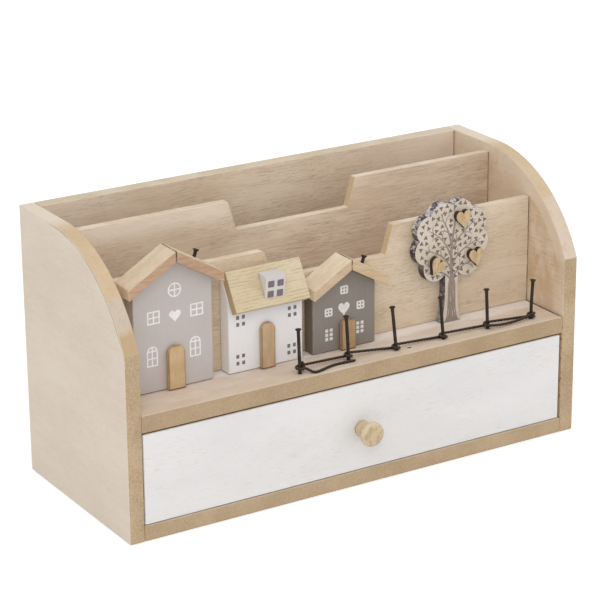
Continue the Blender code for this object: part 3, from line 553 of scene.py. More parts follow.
def street_materials():
    # The side faces' colours, the seventh column of the blocks table, are painted light and shade: lighter
    # copies of the paint on the white house and its dormer, a darker one on the dark house.
    warm, cream, brown = (216, 208, 204), (241, 237, 233), (118, 106, 94)
    blocks = (
        ("grey_house_block", (191, 183, 180), (204, 188, 170), (172, 164, 160), 0.5, 0.2, None, 0.5),
        ("white_house_block", (228, 226, 226), (210, 196, 180), (208, 203, 200), 0.5, 0.12, cream, 0.5),
        ("white_house_dormer", (206, 200, 198), (188, 180, 172), (184, 178, 174), 0.3, 0.16, warm, 0.1),
        ("dark_house_block", (138, 130, 123), (166, 154, 140), (116, 108, 100), 0.5, 0.25, brown, 0.5),
    )
    for block in blocks:
        painted(*block)
    roofs = (
        ("grey_house_roof_left", (220, 202, 176), (196, 170, 138), (192, 158, 130)),
        ("grey_house_roof_right", (216, 196, 168), (194, 164, 132), (188, 155, 126)),
        ("dark_house_roof_left", (231, 215, 189), (208, 184, 150), (204, 179, 150)),
        ("dark_house_roof_right", (218, 198, 166), (198, 172, 134), (205, 179, 146)),
    )
    for i, (name, light, dark, front) in enumerate(roofs):
        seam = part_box(name.replace("right", "left"))[1].x
        pine(name, "x", light, dark, 0.35, 1.0, (0.1 * i, 0.3, 0.2), front, seam).give(name)
    doors = (
        ("grey_house_door", (206, 176, 140), (182, 149, 110)),
        ("white_house_door", (200, 171, 142), (170, 138, 108)),
        ("dark_house_door", (188, 154, 122), (156, 122, 88)),
    )
    for i, (name, light, dark) in enumerate(doors):
        pine(name, "z", light, dark, 0.7, 1.4, (0.2, 0.1 * i, 0.4), box=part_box(name)).give(name)

    s = Shader("cottage_roof_finish", 0.6)
    bend = s.noise(16, (1, 0.5, 1.4), 3, 0.55, (0.3, 0, 0))
    phase = s.plus(s.times(s.z, 3900.0), bend, 16.0)
    wave = s.plus(0.5, s.math("SINE", phase), 0.5)
    gate = s.step(s.noise(120, (0.5, 1, 3), 3, 0.75, (0, 0.4, 0)), 0.40, 0.60)
    line = s.times(s.math("POWER", wave, 3.0), gate)
    base = s.ramp(bend, 0.3, 0.7, (211, 197, 168), (202, 182, 147))
    base = s.lay(base, (164, 136, 98), line, 0.55)
    dash = s.grain("x", 300, 7, 3, 0.7)
    base = s.lay(base, (168, 142, 106), s.step(dash, 0.52, 0.68), 0.45)
    # painted shade: the roof's side faces darker
    base = s.mix(s.facing("x"), base, (186, 161, 127))
    s.colour(base)
    s.bump(s.less(s.times(dash, 0.3), line), 0.00015, 0.7)
    s.give("white_house_roof")


def tree_materials():
    s = Shader("tree_finish", 0.6)
    cloud = s.specks(70, 3, 0.6)
    grain = s.grain("z", 80, 12, 2, 0.6)
    face = s.ramp(cloud, 0.38, 0.66, (209, 197, 184), (199, 185, 168))
    face = s.lay(face, (192, 174, 150), s.step(grain, 0.45, 0.7), 0.2)
    mottle = s.noise(430, (1, 0.6, 1), 4, 0.75)
    patch = s.specks(85, 2, 0.5, (0.3, 0.1, 0.6))
    tone = s.plus(s.times(mottle, 0.75), patch, 0.4)
    side = s.ramp(tone, 0.52, 0.66, (56, 49, 49), (204, 200, 203))
    trunk = s.ramp(s.z, 0.076, 0.088, (150, 148, 152), (92, 85, 84))
    # painted shade: the edges of the crown's lower part darker
    low = s.times(s.fall(s.z, 0.107, 0.118, 0.85), s.step(s.z, 0.099, 0.102))
    side = s.mix(low, side, (62, 48, 40))
    calm = s.fall(s.z, 0.099, 0.102, 0.6)
    side = s.mix(calm, side, trunk)
    # painted shade: edges that face down darker
    side = s.mix(s.fall(s.normal[2], -0.35, 0.05, 0.85), side, (62, 47, 37))
    s.colour(s.mix(s.facing("y", 0.7, 0.9), side, face))
    s.bump(s.math("ADD", mottle, grain), 0.0001, 0.5)
    s.give("tree_board")
    for i in range(3):
        name = f"tree_heart_{i + 1}"
        s = Shader(name + "_finish", 0.6)
        line = s.grain("z", 210, 4, 3, 0.65, (0.07 * i, 0, 0))
        face = s.ramp(line, 0.38, 0.66, (203, 179, 140), (180, 150, 108))
        scorch = s.specks(500, 2, 0.6)
        burnt = s.ramp(scorch, 0.3, 0.7, (40, 29, 23), (66, 48, 34))
        s.colour(s.mix(s.facing("y", 0.8, 0.95), burnt, face))
        s.bump(line, 0.00008, 0.6)
        s.give(name)


def small_materials():
    s = Shader("nail_finish", 0.5, 0.55)
    rust = s.noise(500, (1, 1, 0.5), 3, 0.65)
    s.colour(s.ramp(rust, 0.4, 0.68, (50, 42, 39), (72, 57, 49)))
    s.roughness(s.step(rust, 0.3, 0.7, 0.42, 0.66))
    s.bump(rust, 0.00006, 0.6)
    nail_finish = s

    s = Shader("twine_finish", 0.72)
    fibre = s.specks(1600, 3, 0.7)
    strand = s.ramp(fibre, 0.35, 0.7, (31, 20, 12), (51, 37, 27))
    # painted highlight: the plies lighter where they face up
    s.colour(s.ramp(s.normal[2], 0.40, 0.95, strand, (86, 72, 61)))
    s.bump(fibre, 0.00008, 0.8)
    twine_finish = s

    s = Shader("knob_finish", 0.5)
    mottle = s.specks(240, 3, 0.65, (0.3, 0, 0))
    fibre = s.grain("x", 420, 10, 2, 0.6)
    base = s.ramp(mottle, 0.35, 0.68, (216, 196, 166), (204, 182, 149))
    flat = s.ramp(mottle, 0.40, 0.60, (208, 184, 152), (178, 163, 126))
    # painted shade: a darker copy of the wood on the face that looks to the front
    base = s.mix(s.fall(s.normal[1], -0.99, -0.66), base, flat)
    # painted shade on the neck and foot behind the head
    neck = s.step(s.y, FRONT - 0.0080, FRONT - 0.0072)
    base = s.lay(base, (198, 174, 140), neck, 0.7)
    base = s.lay(base, (172, 148, 114), s.step(fibre, 0.5, 0.7), 0.35)
    s.colour(base)
    s.bump(s.math("ADD", fibre, mottle), 0.00006, 0.5)
    knob_finish = s

    s = Shader("screw_finish", 0.35, 1.0)
    brushed = s.specks(900, 2, 0.6)
    s.colour(s.mix(brushed, (196, 194, 190), (172, 170, 166)))
    s.roughness(s.step(brushed, 0.3, 0.7, 0.28, 0.45))
    screw_finish = s
    return nail_finish, twine_finish, knob_finish, screw_finish


def ink(name, light, dark, roughness=0.6):
    """Printed paint, a little uneven."""
    s = Shader(name, roughness)
    patchy = s.specks(700, 2, 0.6)
    s.colour(s.ramp(patchy, 0.35, 0.7, light, dark))
    s.bump(patchy, 0.00003, 0.5)
    return s


def make_floor():
    """A pale floor, a little brighter where the camera sees it."""
    bm = bmesh.new()
    bmesh.ops.create_grid(bm, x_segments=1, y_segments=1, size=FLOOR_HALF)
    floor = add("floor", mesh_of("floor", bm))
    floor.location = (0, 0, -FLOOR_DROP)
    s = Shader("floor", 0.9, 0.0, 0.1)
    s.out.inputs["Base Color"].default_value = srgb(FLOOR_LEVEL, FLOOR_LEVEL, FLOOR_LEVEL)
    s.out.inputs["Emission Color"].default_value = WHITE
    ray = s.node("LightPath", {}, "Is Camera Ray")
    s.tree.links.new(s.times(ray, FLOOR_GLOW), s.out.inputs["Emission Strength"])
    s.give("floor")


# Printed details, whose outlines are given in millimetres

INK_SUNK, INK_PROUD, INK_LAYER = 0.00004, 0.00005, 0.000006
SAME_POINT = 0.000002
BAR = 0.8
PANE_ROUNDING = 0.12
ROUND_STEPS, ARCH_STEPS, ARC_STEPS, HEART_STEPS, DENT_STEPS = 40, 16, 8, 36, 14


def link(name, mesh, body):
    piece = add(name, mesh)
    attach(piece, body)
    return piece


def upright(face_y):
    """Where prints on a face that looks to the front lie."""
    return Matrix.Translation((0, face_y, 0)) @ Matrix.Rotation(math.pi / 2, 4, "X")


def printed(name, loops, place, finish, proud=INK_PROUD):
    """Thin paint on a flat face: each loop holds points across and up the face, and a loop inside
    another is a hole."""
    curve = bpy.data.curves.new(name, "CURVE")
    curve.dimensions = "2D"
    curve.fill_mode = "BOTH"
    curve.extrude = (INK_SUNK + proud) / 2
    for loop in loops:
        spline = curve.splines.new("POLY")
        spline.points.add(len(loop) - 1)
        for point, (across, up) in zip(spline.points, loop):
            point.co = (across * MM, up * MM, 0, 1)
        spline.use_cyclic_u = True
    guide = add(name + "_outline", curve)
    mesh = bpy.data.meshes.new_from_object(guide.evaluated_get(bpy.context.evaluated_depsgraph_get()))
    bpy.data.objects.remove(guide, do_unlink=True)
    mesh.name = name
    bm = bmesh.new()
    bm.from_mesh(mesh)
    bmesh.ops.remove_doubles(bm, verts=bm.verts, dist=SAME_POINT)
    lift = Matrix.Translation((0, 0, (proud - INK_SUNK) / 2))
    bmesh.ops.transform(bm, matrix=place @ lift, verts=bm.verts)
    bmesh.ops.recalc_face_normals(bm, faces=bm.faces)
    bm.to_mesh(mesh)
    bm.free()
    link(name, mesh, "case")
    finish.give(name)


def arc(centre, radius, start, end, steps):
    """Points on an arc, whose radius is one number or one across and one up."""
    across, up = radius if isinstance(radius, tuple) else (radius, radius)
    turns = [start + (end - start) * i / steps for i in range(steps + 1)]
    return [(centre[0] + across * math.cos(t), centre[1] + up * math.sin(t)) for t in turns]


def rectangle(x, z, width, height, corner=0.0, steps=3):
    """A rectangle about its middle, with round corners if asked."""
    if not corner:
        signs = ((-1, -1), (1, -1), (1, 1), (-1, 1))
        return [(x + sx * width / 2, z + sz * height / 2) for sx, sz in signs]
    points = []
    for i, (sx, sz) in enumerate(((1, 1), (-1, 1), (-1, -1), (1, -1))):
        centre = (x + sx * (width / 2 - corner), z + sz * (height / 2 - corner))
        points += arc(centre, corner, math.pi / 2 * i, math.pi / 2 * (i + 1), steps)
    return points


def ellipse(x, z, across, up, steps):
    return arc((x, z), (across, up), 0, math.tau, steps)[:-1]


def heart(x, z, width, height):
    """A heart whose box is centred on (x, z)."""
    raw = []
    for i in range(HEART_STEPS):
        t = math.tau * i / HEART_STEPS
        rise = 13 * math.cos(t) - 5 * math.cos(2 * t) - 2 * math.cos(3 * t) - math.cos(4 * t)
        raw.append((16 * math.sin(t) ** 3, rise))
    top, low = max(p[1] for p in raw), min(p[1] for p in raw)
    return [(x + a / 32 * width, z + ((b - low) / (top - low) - 0.5) * height) for a, b in raw]


def cross_window(x0, x1, z0, z1):
    """A square window: its frame, with four panes cut out."""
    x, z = (x0 + x1) / 2, (z0 + z1) / 2
    loops = [rectangle(x, z, x1 - x0, z1 - z0)]
    wide, tall = (x1 - x0 - 3 * BAR) / 2, (z1 - z0 - 3 * BAR) / 2
    for sx in (-1, 1):
        for sz in (-1, 1):
            loops.append(rectangle(x + sx * (wide + BAR) / 2, z + sz * (tall + BAR) / 2, wide, tall))
    return loops


def round_window(x, z, radius):
    """A round window with four panes."""
    loops = [ellipse(x, z, radius, radius, ROUND_STEPS)]
    inner, half = radius - BAR, BAR / 2
    start = math.asin(half / inner)
    points = [*arc((0, 0), inner, start, math.pi / 2 - start, ARC_STEPS), (half, half)]
    for i in range(4):
        c, s = round(math.cos(math.pi / 2 * i)), round(math.sin(math.pi / 2 * i))
        loops.append([(x + a * c - b * s, z + a * s + b * c) for a, b in points])
    return loops


def arched_window(x0, x1, z0, z1):
    """An arched window with three rows of two panes."""
    x, half, side = (x0 + x1) / 2, (x1 - x0) / 2, BAR / 2
    spring = z1 - half
    loops = [[(x0, z0), (x1, z0), *arc((x, spring), half, 0, math.pi, ARCH_STEPS)]]
    row = (spring - z0 - 2 * BAR) / 2 + BAR * 0.1
    inner = half - BAR
    for sx in (-1, 1):
        for i in range(2):
            low = z0 + BAR + i * (row + BAR)
            loops.append(rectangle(x + sx * (side + inner) / 2, low + row / 2, inner - side, row))
        low = z0 + BAR + 2 * (row + BAR)
        start, end = math.asin(max(0.0, (low - spring) / inner)), math.acos(side / inner)
        points = [(side, low), *arc((0, spring), inner, start, end, ARC_STEPS)]
        loops.append([(x + sx * a, b) for a, b in points])
    return loops


def panes(x, z, pitch_x, pitch_z, width, height, columns=2, rows=2):
    """Separate small panes in a grid about (x, z)."""
    corner = min(width, height) * PANE_ROUNDING
    loops = []
    for i in range(columns):
        for j in range(rows):
            a = x + (i - (columns - 1) / 2) * pitch_x
            b = z + (j - (rows - 1) / 2) * pitch_z
            loops.append(rectangle(a, b, width, height, corner, 2))
    return loops


def dormer_face():
    """Where prints on the dormer's face lie: it leans forward and stands a little askew."""
    low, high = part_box("white_house_block")
    out = Vector((0, -math.sin(WHITE_PITCH), math.cos(WHITE_PITCH)))
    climb = Vector((0, math.cos(WHITE_PITCH), math.sin(WHITE_PITCH)))
    foot = Vector(((low.x + high.x) / 2 + DORMER_SHIFT, low.y, WHITE_SHOULDER))
    foot += climb * (DORMER_RISE - WHITE_EAVE) + out * (ROOF_BOARD + 2 * GAP)
    askew = Matrix.Rotation(DORMER_TURN, 4, out)
    return Matrix.Translation(foot) @ askew @ Matrix.Rotation(DORMER_LEAN, 4, "X") @ upright(0)


def house_prints():
    loops = round_window(-104.7, 130.5, 4.15)
    for sides in ((-122.0, -114.2, 113.1, 120.6), (-95.3, -87.2, 113.0, 120.4)):
        loops += cross_window(*sides)
    for sides in ((-122.8, -116.0, 88.8, 100.5), (-96.1, -89.2, 89.5, 101.2)):
        loops += arched_window(*sides)
    loops.append(heart(-104.8, 115.3, 7.4, 6.8))
    white = ink("window_white", (234, 231, 229), (222, 219, 216))
    printed("grey_house_windows", loops, upright(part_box("grey_house_block")[0].y), white)

    loops = []
    for x, z in ((-63.7, 104.2), (-30.2, 103.3), (-64.0, 81.3), (-30.8, 80.9)):
        loops += panes(x, z, 3.7, 4.1, 1.9, 2.2)
    mark = ink("window_grey", (112, 104, 104), (126, 117, 116))
    printed("white_house_windows", loops, upright(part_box("white_house_block")[0].y), mark)
    pane = ink("dormer_pane", (110, 98, 101), (124, 111, 113))
    printed("dormer_windows", panes(0.12, 5.25, 5.9, 6.0, 4.0, 3.9), dormer_face(), pane)

    loops = []
    for x, z in ((4.4, 109.2), (-6.1, 97.5), (15.4, 98.1)):
        loops += [rectangle(x, z, 5.2, 5.0, 0.8), *panes(x, z, 2.0, 2.0, 1.1, 1.1)]
    for x, z in ((-5.9, 84.0), (15.0, 84.6)):
        loops += panes(x, z, 3.0, 2.6, 1.95, 1.9, 2, 3)
    loops.append(heart(4.2, 97.55, 7.6, 7.9))
    dull = ink("window_pale", (226, 222, 218), (212, 207, 202))
    printed("dark_house_windows", loops, upright(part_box("dark_house_block")[0].y), dull)


# A generic tree, in millimetres right of its trunk's middle and above the floor. A slit runs from
# its foot to its top, and a twig has its place along the limb as a share, its side and its length

TREE_X = 0.081
TRUNK = (
    (-5.0, 73.95), (-3.5, 76.6), (-2.9, 80.5), (-2.6, 88.0), (-2.5, 97.0), (-1.6, 101.5),
    (1.7, 101.5), (2.6, 97.0), (2.8, 88.0), (3.1, 80.5), (3.8, 76.6), (5.3, 73.95),
)
TRUNK_SLITS = (
    (-2.9, 75.2, -1.3, 84.0), (1.2, 75.0, 0.5, 82.5), (3.2, 75.6, 1.6, 83.0),
    (-0.6, 84.5, -0.9, 92.0), (1.3, 87.0, 1.0, 95.5),
)
SLIT_HALF = 0.22
LEADER = ((0.0, 99.5), (-0.4, 108.0), (-0.5, 118.0), (0.8, 128.0), (2.0, 136.5), (1.4, 142.5))
LIMBS = (
    ((-0.2, 99.6), (-5.0, 104.0), (-12.0, 107.5), (-19.0, 113.0)),
    ((0.5, 101.9), (6.0, 106.0), (12.0, 108.5), (18.0, 108.0)),
    ((-0.7, 106.0), (-4.0, 112.0), (-10.0, 117.0), (-19.0, 121.0)),
    ((0.0, 109.0), (5.0, 115.0), (12.0, 119.0), (20.0, 121.5)),
    ((-0.8, 114.0), (-4.0, 121.0), (-9.0, 127.0), (-16.0, 132.0)),
    ((0.0, 118.0), (4.0, 124.0), (10.0, 129.0), (16.0, 134.0)),
    ((-0.6, 122.0), (-3.0, 130.0), (-6.0, 136.0), (-8.0, 141.0)),
)
LIMB_STEPS = 5
TWIGS = ((0.3, 1, 6.0), (0.5, -1, 6.5), (0.68, 1, 5.0), (0.84, -1, 4.0))
LEAF_SEED, LEAF_TRIES, LEAF_GAP = 5, 5000, 3.15
LEAF_POINTS, LEAF_REACH, LEAF_LOBE = 18, 1.05, 0.4
LEAF_FROM_LIMB, LEAF_FROM_HEART, LEAF_FROM_RIM = 1.2, 1.5 * MM, 1.6
CROWN_ACROSS, CROWN_UP = (-26, 26), (101, 147)


def heading(line, i):
    """Which way a line of points goes at one of them."""
    return (line[min(i + 1, len(line) - 1)] - line[max(i - 1, 0)]).normalized()


def limb(points, start, end):
    """The outline of a limb that tapers along a smooth line through the points."""
    line = smooth(points, LIMB_STEPS)
    left, right = [], []
    for i, point in enumerate(line):
        ahead = heading(line, i)
        half = (start + (end - start) * i / (len(line) - 1)) / 2
        across = Vector((-ahead.y, ahead.x)) * half
        left.append(point + across)
        right.append(point - across)
    tip = line[-1] + (line[-1] - line[-2]).normalized() * end
    return [*left, tip, *reversed(right)]


def twigs_of(points):
    """Short twigs to both sides of a limb through the points."""
    line = smooth(points, LIMB_STEPS)
    found = []
    for share, side, length in TWIGS:
        i = round(share * (len(line) - 1))
        ahead = heading(line, i)
        out = Vector((-ahead.y, ahead.x)) * side
        start = line[i] + ahead * 0.2
        middle = start + ahead * length * 0.4 + out * length * 0.35
        end = start + ahead * length * 0.6 + out * length * 0.8
        found.append((start, middle, end))
    return found


def leaf(x, z, turn):
    """A small leaf with three lobes."""
    points = []
    for i in range(LEAF_POINTS):
        angle = math.tau * i / LEAF_POINTS
        reach = LEAF_REACH * (1 + LEAF_LOBE * math.cos(3 * angle))
        points.append((x + reach * math.cos(angle + turn), z + reach * math.sin(angle + turn)))
    return points


def on_tree_face(x, z):
    """Whether a leaf here lies wholly on the board."""
    board = NODES["tree_board"]
    inverse = board.matrix_world.inverted()
    ahead = inverse.to_3x3() @ Vector((0, 1, 0))
    for across, up in ellipse(x, z, LEAF_FROM_RIM, LEAF_FROM_RIM, 8):
        start = Vector((TREE_X + across * MM, -0.2, up * MM))
        if not board.ray_cast(inverse @ start, ahead)[0]:
            return False
    return True


def near_heart(x, z, hearts):
    """Whether a leaf here comes too near the box of a wooden heart."""
    across, up, gap = TREE_X + x * MM, z * MM, LEAF_FROM_HEART
    for low, high in hearts:
        if low.x - gap < across < high.x + gap and low.z - gap < up < high.z + gap:
            return True
    return False


def tree_leaves(lines):
    """Leaves scattered over the crown, clear of the limbs and of the three wooden hearts."""
    hearts = [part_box(f"tree_heart_{i + 1}") for i in range(3)]
    draw = random.Random(LEAF_SEED)
    spots, loops = [], []
    for _ in range(LEAF_TRIES):
        x, z, turn = draw.uniform(*CROWN_ACROSS), draw.uniform(*CROWN_UP), draw.uniform(0, math.tau)
        spot = Vector((x, z))
        if any((spot - other).length < LEAF_GAP for other in spots):
            continue
        if any((spot - point).length < LEAF_FROM_LIMB for point in lines):
            continue
        if not near_heart(x, z, hearts) and on_tree_face(x, z):
            spots.append(spot)
            loops.append(leaf(spot.x, spot.y, turn))
    return loops


def tree_print():
    """The tree's print in layers, each a hair above the last."""
    place = Matrix.Translation((TREE_X, 0, 0)) @ upright(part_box("tree_board")[0].y)
    bark = ink("tree_ink", (140, 124, 114), (154, 138, 127))
    leafage = ink("leaf_ink", (108, 94, 88), (126, 111, 103))
    slits = []
    for x0, z0, x1, z1 in TRUNK_SLITS:
        x, z = (x0 + x1) / 2, (z0 + z1) / 2
        slits.append([(x0, z0), (x + SLIT_HALF, z), (x1, z1), (x - SLIT_HALF, z)])
    twigs = [twigs_of(points) for points in LIMBS]
    lines = []
    for points in (LEADER, *LIMBS, *(twig for found in twigs for twig in found)):
        lines += smooth(points, 6)
    layers = [
        ("tree_print_trunk", [TRUNK, *slits], bark),
        ("tree_print_leader", [limb(LEADER, 2.7, 0.5)], bark),
        ("tree_print_limbs", [limb(points, 1.3, 0.4) for points in LIMBS], bark),
        ("tree_print_leaves", tree_leaves(lines), leafage),
    ]
    for k in range(len(TWIGS)):
        loops = [limb(found[k], 0.65, 0.35) for found in twigs]
        layers.append((f"tree_print_twigs_{k + 1}", loops, bark))
    for i, (name, loops, finish) in enumerate(layers):
        printed(name, loops, place, finish, INK_PROUD + INK_LAYER * i)


DENT_PLACE, DENT_TURN = (0.0365, -0.0536, SHELF_TOP), math.radians(6)


def shelf_mark():
    """A small dark dent in the shelf's front part."""
    dent = ink("dent_brown", (66, 50, 40), (48, 36, 28))
    place = Matrix.Translation(DENT_PLACE) @ Matrix.Rotation(DENT_TURN, 4, "Z")
    printed("shelf_dent", [ellipse(0, 0, 1.6, 0.65, DENT_STEPS)], place, dent)


# Twine, nails, knob

NAIL_DIAMETER, NAIL_HEAD_DIAMETER, NAIL_HEAD_HEIGHT, NAIL_POINT = 0.0020, 0.0036, 0.0010, 0.0022
NAIL_STEPS, NAIL_SEED, NAIL_BOW, NAIL_KNOCK = 20, 11, 0.00022, 0.05
FENCE_STAND, FENCE_BITE, FENCE_PITCH = 0.0268, 0.0070, 0.0321
FENCE_RIGHT_MARGIN, FENCE_SETBACK = 0.0174, 0.0087
FENCE_NAIL_SHARES = (
    (-0.005, -0.17, -0.033, 1.00),
    (0.06, 0.20, -0.060, 1.00),
    (0.03, -0.02, -0.110, 1.01),
    (0.05, -0.01, -0.090, 0.98),
    (0.03, 0.02, -0.050, 0.92),
    (0.00, -0.02, 0.040, 0.90),
)
TWINE_DIAMETER, TWINE_TURN_GAP, TWINE_NAIL_GAP, TWINE_SHELF_GAP = 0.0012, 0.00062, 0.0003, 0.00025
TWINE_TURNS = (0.5, 1.0, 1.0, 1.0, 1.0, 1.5)
TWINE_HITCH_TURNS, TWINE_HITCH_LIFT_SHARE = 0.1, 1.1
TWINE_LIFT_SHARES = (1.25, 0.5, 0.0, 0.0, 0.25, 0.0)
TWINE_SAG = 0.0017
TWINE_TAIL = (
    (0.0360, -0.0014, 0.0000),
    (0.0296, -0.0008, 0.0000),
    (0.0229, -0.0008, 0.0000),
    (0.0182, -0.0017, 0.0000),
    (0.0148, -0.0028, 0.0000),
    (0.0114, -0.0039, 0.0000),
    (0.0086, -0.0045, 0.0000),
    (0.0068, -0.0041, 0.0001),
    (0.0055, -0.0030, 0.0006),
    (0.0047, -0.0013, 0.0011),
)
TWINE_BRIDGE = ((0.0026, -0.0004, 0.0026), (0.0019, -0.0015, 0.0024), (0.0009, -0.00195, 0.0023))
KNOT_GAP, KNOT_FAR, KNOT_NEAR = 0.0004, 0.0044, 0.0027
KNOT_START, KNOT_SWEEP, KNOT_STEPS = math.radians(-110), math.radians(300), 6
TWINE_PITCH = TWINE_DIAMETER + TWINE_TURN_GAP
TWINE_WIND_RADIUS = NAIL_DIAMETER / 2 + TWINE_NAIL_GAP + TWINE_DIAMETER / 2
TWINE_LOW = SHELF_TOP + TWINE_DIAMETER / 2 + TWINE_SHELF_GAP
TURN_STEPS, SPAN_STEPS = 16, 10


def fence_feet():
    """Each fence nail's foot on the shelf, its lean and its height above the shelf."""
    last = INNER_HALF - FENCE_RIGHT_MARGIN
    feet = []
    for i, (right, across, lean, height) in enumerate(FENCE_NAIL_SHARES):
        x = last - FENCE_PITCH * (len(FENCE_NAIL_SHARES) - 1 - i - right)
        y = FRONT + FENCE_SETBACK * (1 + across)
        feet.append((Vector((x, y, SHELF_TOP)), math.atan(lean), FENCE_STAND * height))
    return feet


def winding(foot, lean, start, sweep, height, radius=TWINE_WIND_RADIUS):
    """Points round a nail, clockwise from above, each turn one pitch above the last."""
    count = max(2, round(TURN_STEPS * sweep / math.tau))
    points = []
    for i in range(count + 1):
        turn = sweep * i / count
        z = height + TWINE_PITCH * turn / math.tau
        axis = Vector((foot.x + (z - foot.z) * math.tan(lean), foot.y, z))
        around = start - turn
        points.append(axis + radius * Vector((math.cos(around), math.sin(around), 0)))
    return points


def span_between(start, end, sag=0.0):
    """Points between two windings, lower in the middle if the span sags."""
    points = []
    for i in range(1, SPAN_STEPS):
        share = i / SPAN_STEPS
        point = start.lerp(end, share)
        point.z -= sag * 4 * share * (1 - share)
        points.append(point)
    return points


def smooth(points, steps):
    """Points on a smooth curve through the given ones."""
    points = [Vector(point) for point in points]
    padded = [points[0] * 2 - points[1], *points, points[-1] * 2 - points[-2]]
    found = []
    for a, b, c, d in zip(padded, padded[1:], padded[2:], padded[3:]):
        square, cube = 2 * a - 5 * b + 4 * c - d, 3 * b - a - 3 * c + d
        for i in range(steps):
            t = i / steps
            found.append(0.5 * (2 * b + (c - a) * t + square * t**2 + cube * t**3))
    return [*found, points[-1]]


def knot_turn(start, toward):
    """A turn round the twine's own first stretch, which begins on its far side from the nail."""
    ahead = (toward - start).normalized()
    behind = Vector((0, 0, 1)).cross(ahead).normalized()
    above = ahead.cross(behind)
    points = []
    for i in range(KNOT_STEPS + 1):
        share = i / KNOT_STEPS
        turn = KNOT_START + KNOT_SWEEP * share
        middle = start + ahead * (KNOT_FAR + (KNOT_NEAR - KNOT_FAR) * share)
        out = behind * math.cos(turn) + above * math.sin(turn)
        points.append(middle + out * (TWINE_DIAMETER + KNOT_GAP))
    return points


def twine_route(feet):
    """The route of the CAD twine: loose end, winding at each nail, and the way back by one nail."""
    back = math.pi / 2
    headings = [math.atan2(b.y - a.y, b.x - a.x) for (a, _, _), (b, _, _) in zip(feet, feet[1:])]
    heights = [TWINE_LOW + TWINE_PITCH * share for share in TWINE_LIFT_SHARES]
    first, first_lean, _ = feet[0]
    low = Vector((first.x, first.y, TWINE_LOW))
    wound = winding(first, first_lean, -back, TWINE_TURNS[0] * math.tau - headings[0], heights[0])
    landing = winding(*feet[1][:2], headings[0] + back, 0, heights[1])[0]
    knot = knot_turn(wound[-1], landing)
    loose = [low + Vector(point) for point in TWINE_TAIL]
    bridge = [low + Vector(point) for point in TWINE_BRIDGE]
    route = [*smooth([*loose, *knot, *bridge, wound[0]], 2)[:-1], *wound]
    for i in range(1, len(feet)):
        foot, lean, _ = feet[i]
        start = headings[i - 1] + back
        leaving = headings[min(i, len(headings) - 1)] + back
        wound = winding(foot, lean, start, TWINE_TURNS[i] * math.tau + start - leaving, heights[i])
        route += [*span_between(route[-1], wound[0]), *wound]
    foot, lean, _ = feet[-2]
    height = TWINE_LOW + TWINE_PITCH * TWINE_HITCH_LIFT_SHARE
    outer = TWINE_WIND_RADIUS + TWINE_DIAMETER + KNOT_GAP
    hitch = winding(foot, lean, headings[-1] - back, TWINE_HITCH_TURNS * math.tau, height, outer)
    return [*route, *span_between(route[-1], hitch[0], TWINE_SAG), *hitch]


def even(points, gap):
    """Points a constant gap apart along a broken line."""
    found = [points[0].copy()]
    left = gap
    for a, b in zip(points, points[1:]):
        length = (b - a).length
        done = left
        while done <= length:
            found.append(a.lerp(b, done / length))
            done += gap
        left = done - length
    return found


def stand_in(name, bm, finish, body, node):
    """A piece made of a finished bmesh, which stands for a CAD node."""
    bmesh.ops.recalc_face_normals(bm, faces=bm.faces)
    mesh = mesh_of(name, bm)
    mesh.shade_smooth()
    piece = link(name, mesh, body)
    finish.give(name)
    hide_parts(node)


PLIES, PLY_SIDES = 3, 7
PLY_RADIUS, PLY_OFFSET, PLY_LAY, PLY_STEP = 0.00047, 0.00037, 0.0064, 0.00026


def make_twine(finish):
    """Three plies twisted round the route of the CAD twine, thinner at both ends."""
    points = even(smooth(twine_route(fence_feet()), 4), PLY_STEP)
    frames = []
    side = Vector((0, 0, 1))
    for i, point in enumerate(points):
        ahead = heading(points, i)
        side = (side - ahead * side.dot(ahead)).normalized()
        frames.append((point, side.copy(), ahead.cross(side)))
    bm = bmesh.new()
    for ply in range(PLIES):
        rings = []
        for i, (point, u, v) in enumerate(frames):
            turn = math.tau * (i * PLY_STEP / PLY_LAY + ply / PLIES)
            out = u * math.cos(turn) + v * math.sin(turn)
            across = v * math.cos(turn) - u * math.sin(turn)
            centre = point + out * PLY_OFFSET
            radius = PLY_RADIUS * min(1.0, 0.35 + 0.2 * min(i, len(frames) - 1 - i))
            ring = ellipse(0, 0, radius, radius, PLY_SIDES)
            rings.append([bm.verts.new(centre + out * a + across * b) for a, b in ring])
        for a, b in zip(rings, rings[1:]):
            for k in range(PLY_SIDES):
                m = (k + 1) % PLY_SIDES
                bm.faces.new((a[k], a[m], b[m], b[k]))
        bm.faces.new(rings[0][::-1])
        bm.faces.new(rings[-1])
    stand_in("twisted_twine", bm, finish, "case", "fence_twine")


def turned(profile, steps, matrix, warp=None):
    """A shape turned from (radius, height) points and set in place."""
    bm = bmesh.new()
    rings = []
    for radius, height in profile:
        spots = ellipse(0, 0, radius, radius, steps) if radius else [(0, 0)]
        rings.append([bm.verts.new((x, y, height)) for x, y in spots])
    for a, b in zip(rings, rings[1:]):
        for k in range(steps):
            m = (k + 1) % steps
            if len(a) == 1:
                bm.faces.new((a[0], b[k], b[m]))
            elif len(b) == 1:
                bm.faces.new((a[k], b[0], a[m]))
            else:
                bm.faces.new((a[k], b[k], b[m], a[m]))
    if warp:
        for vert in bm.verts:
            vert.co = warp(vert.co)
    bmesh.ops.transform(bm, matrix=matrix, verts=bm.verts)
    return bm


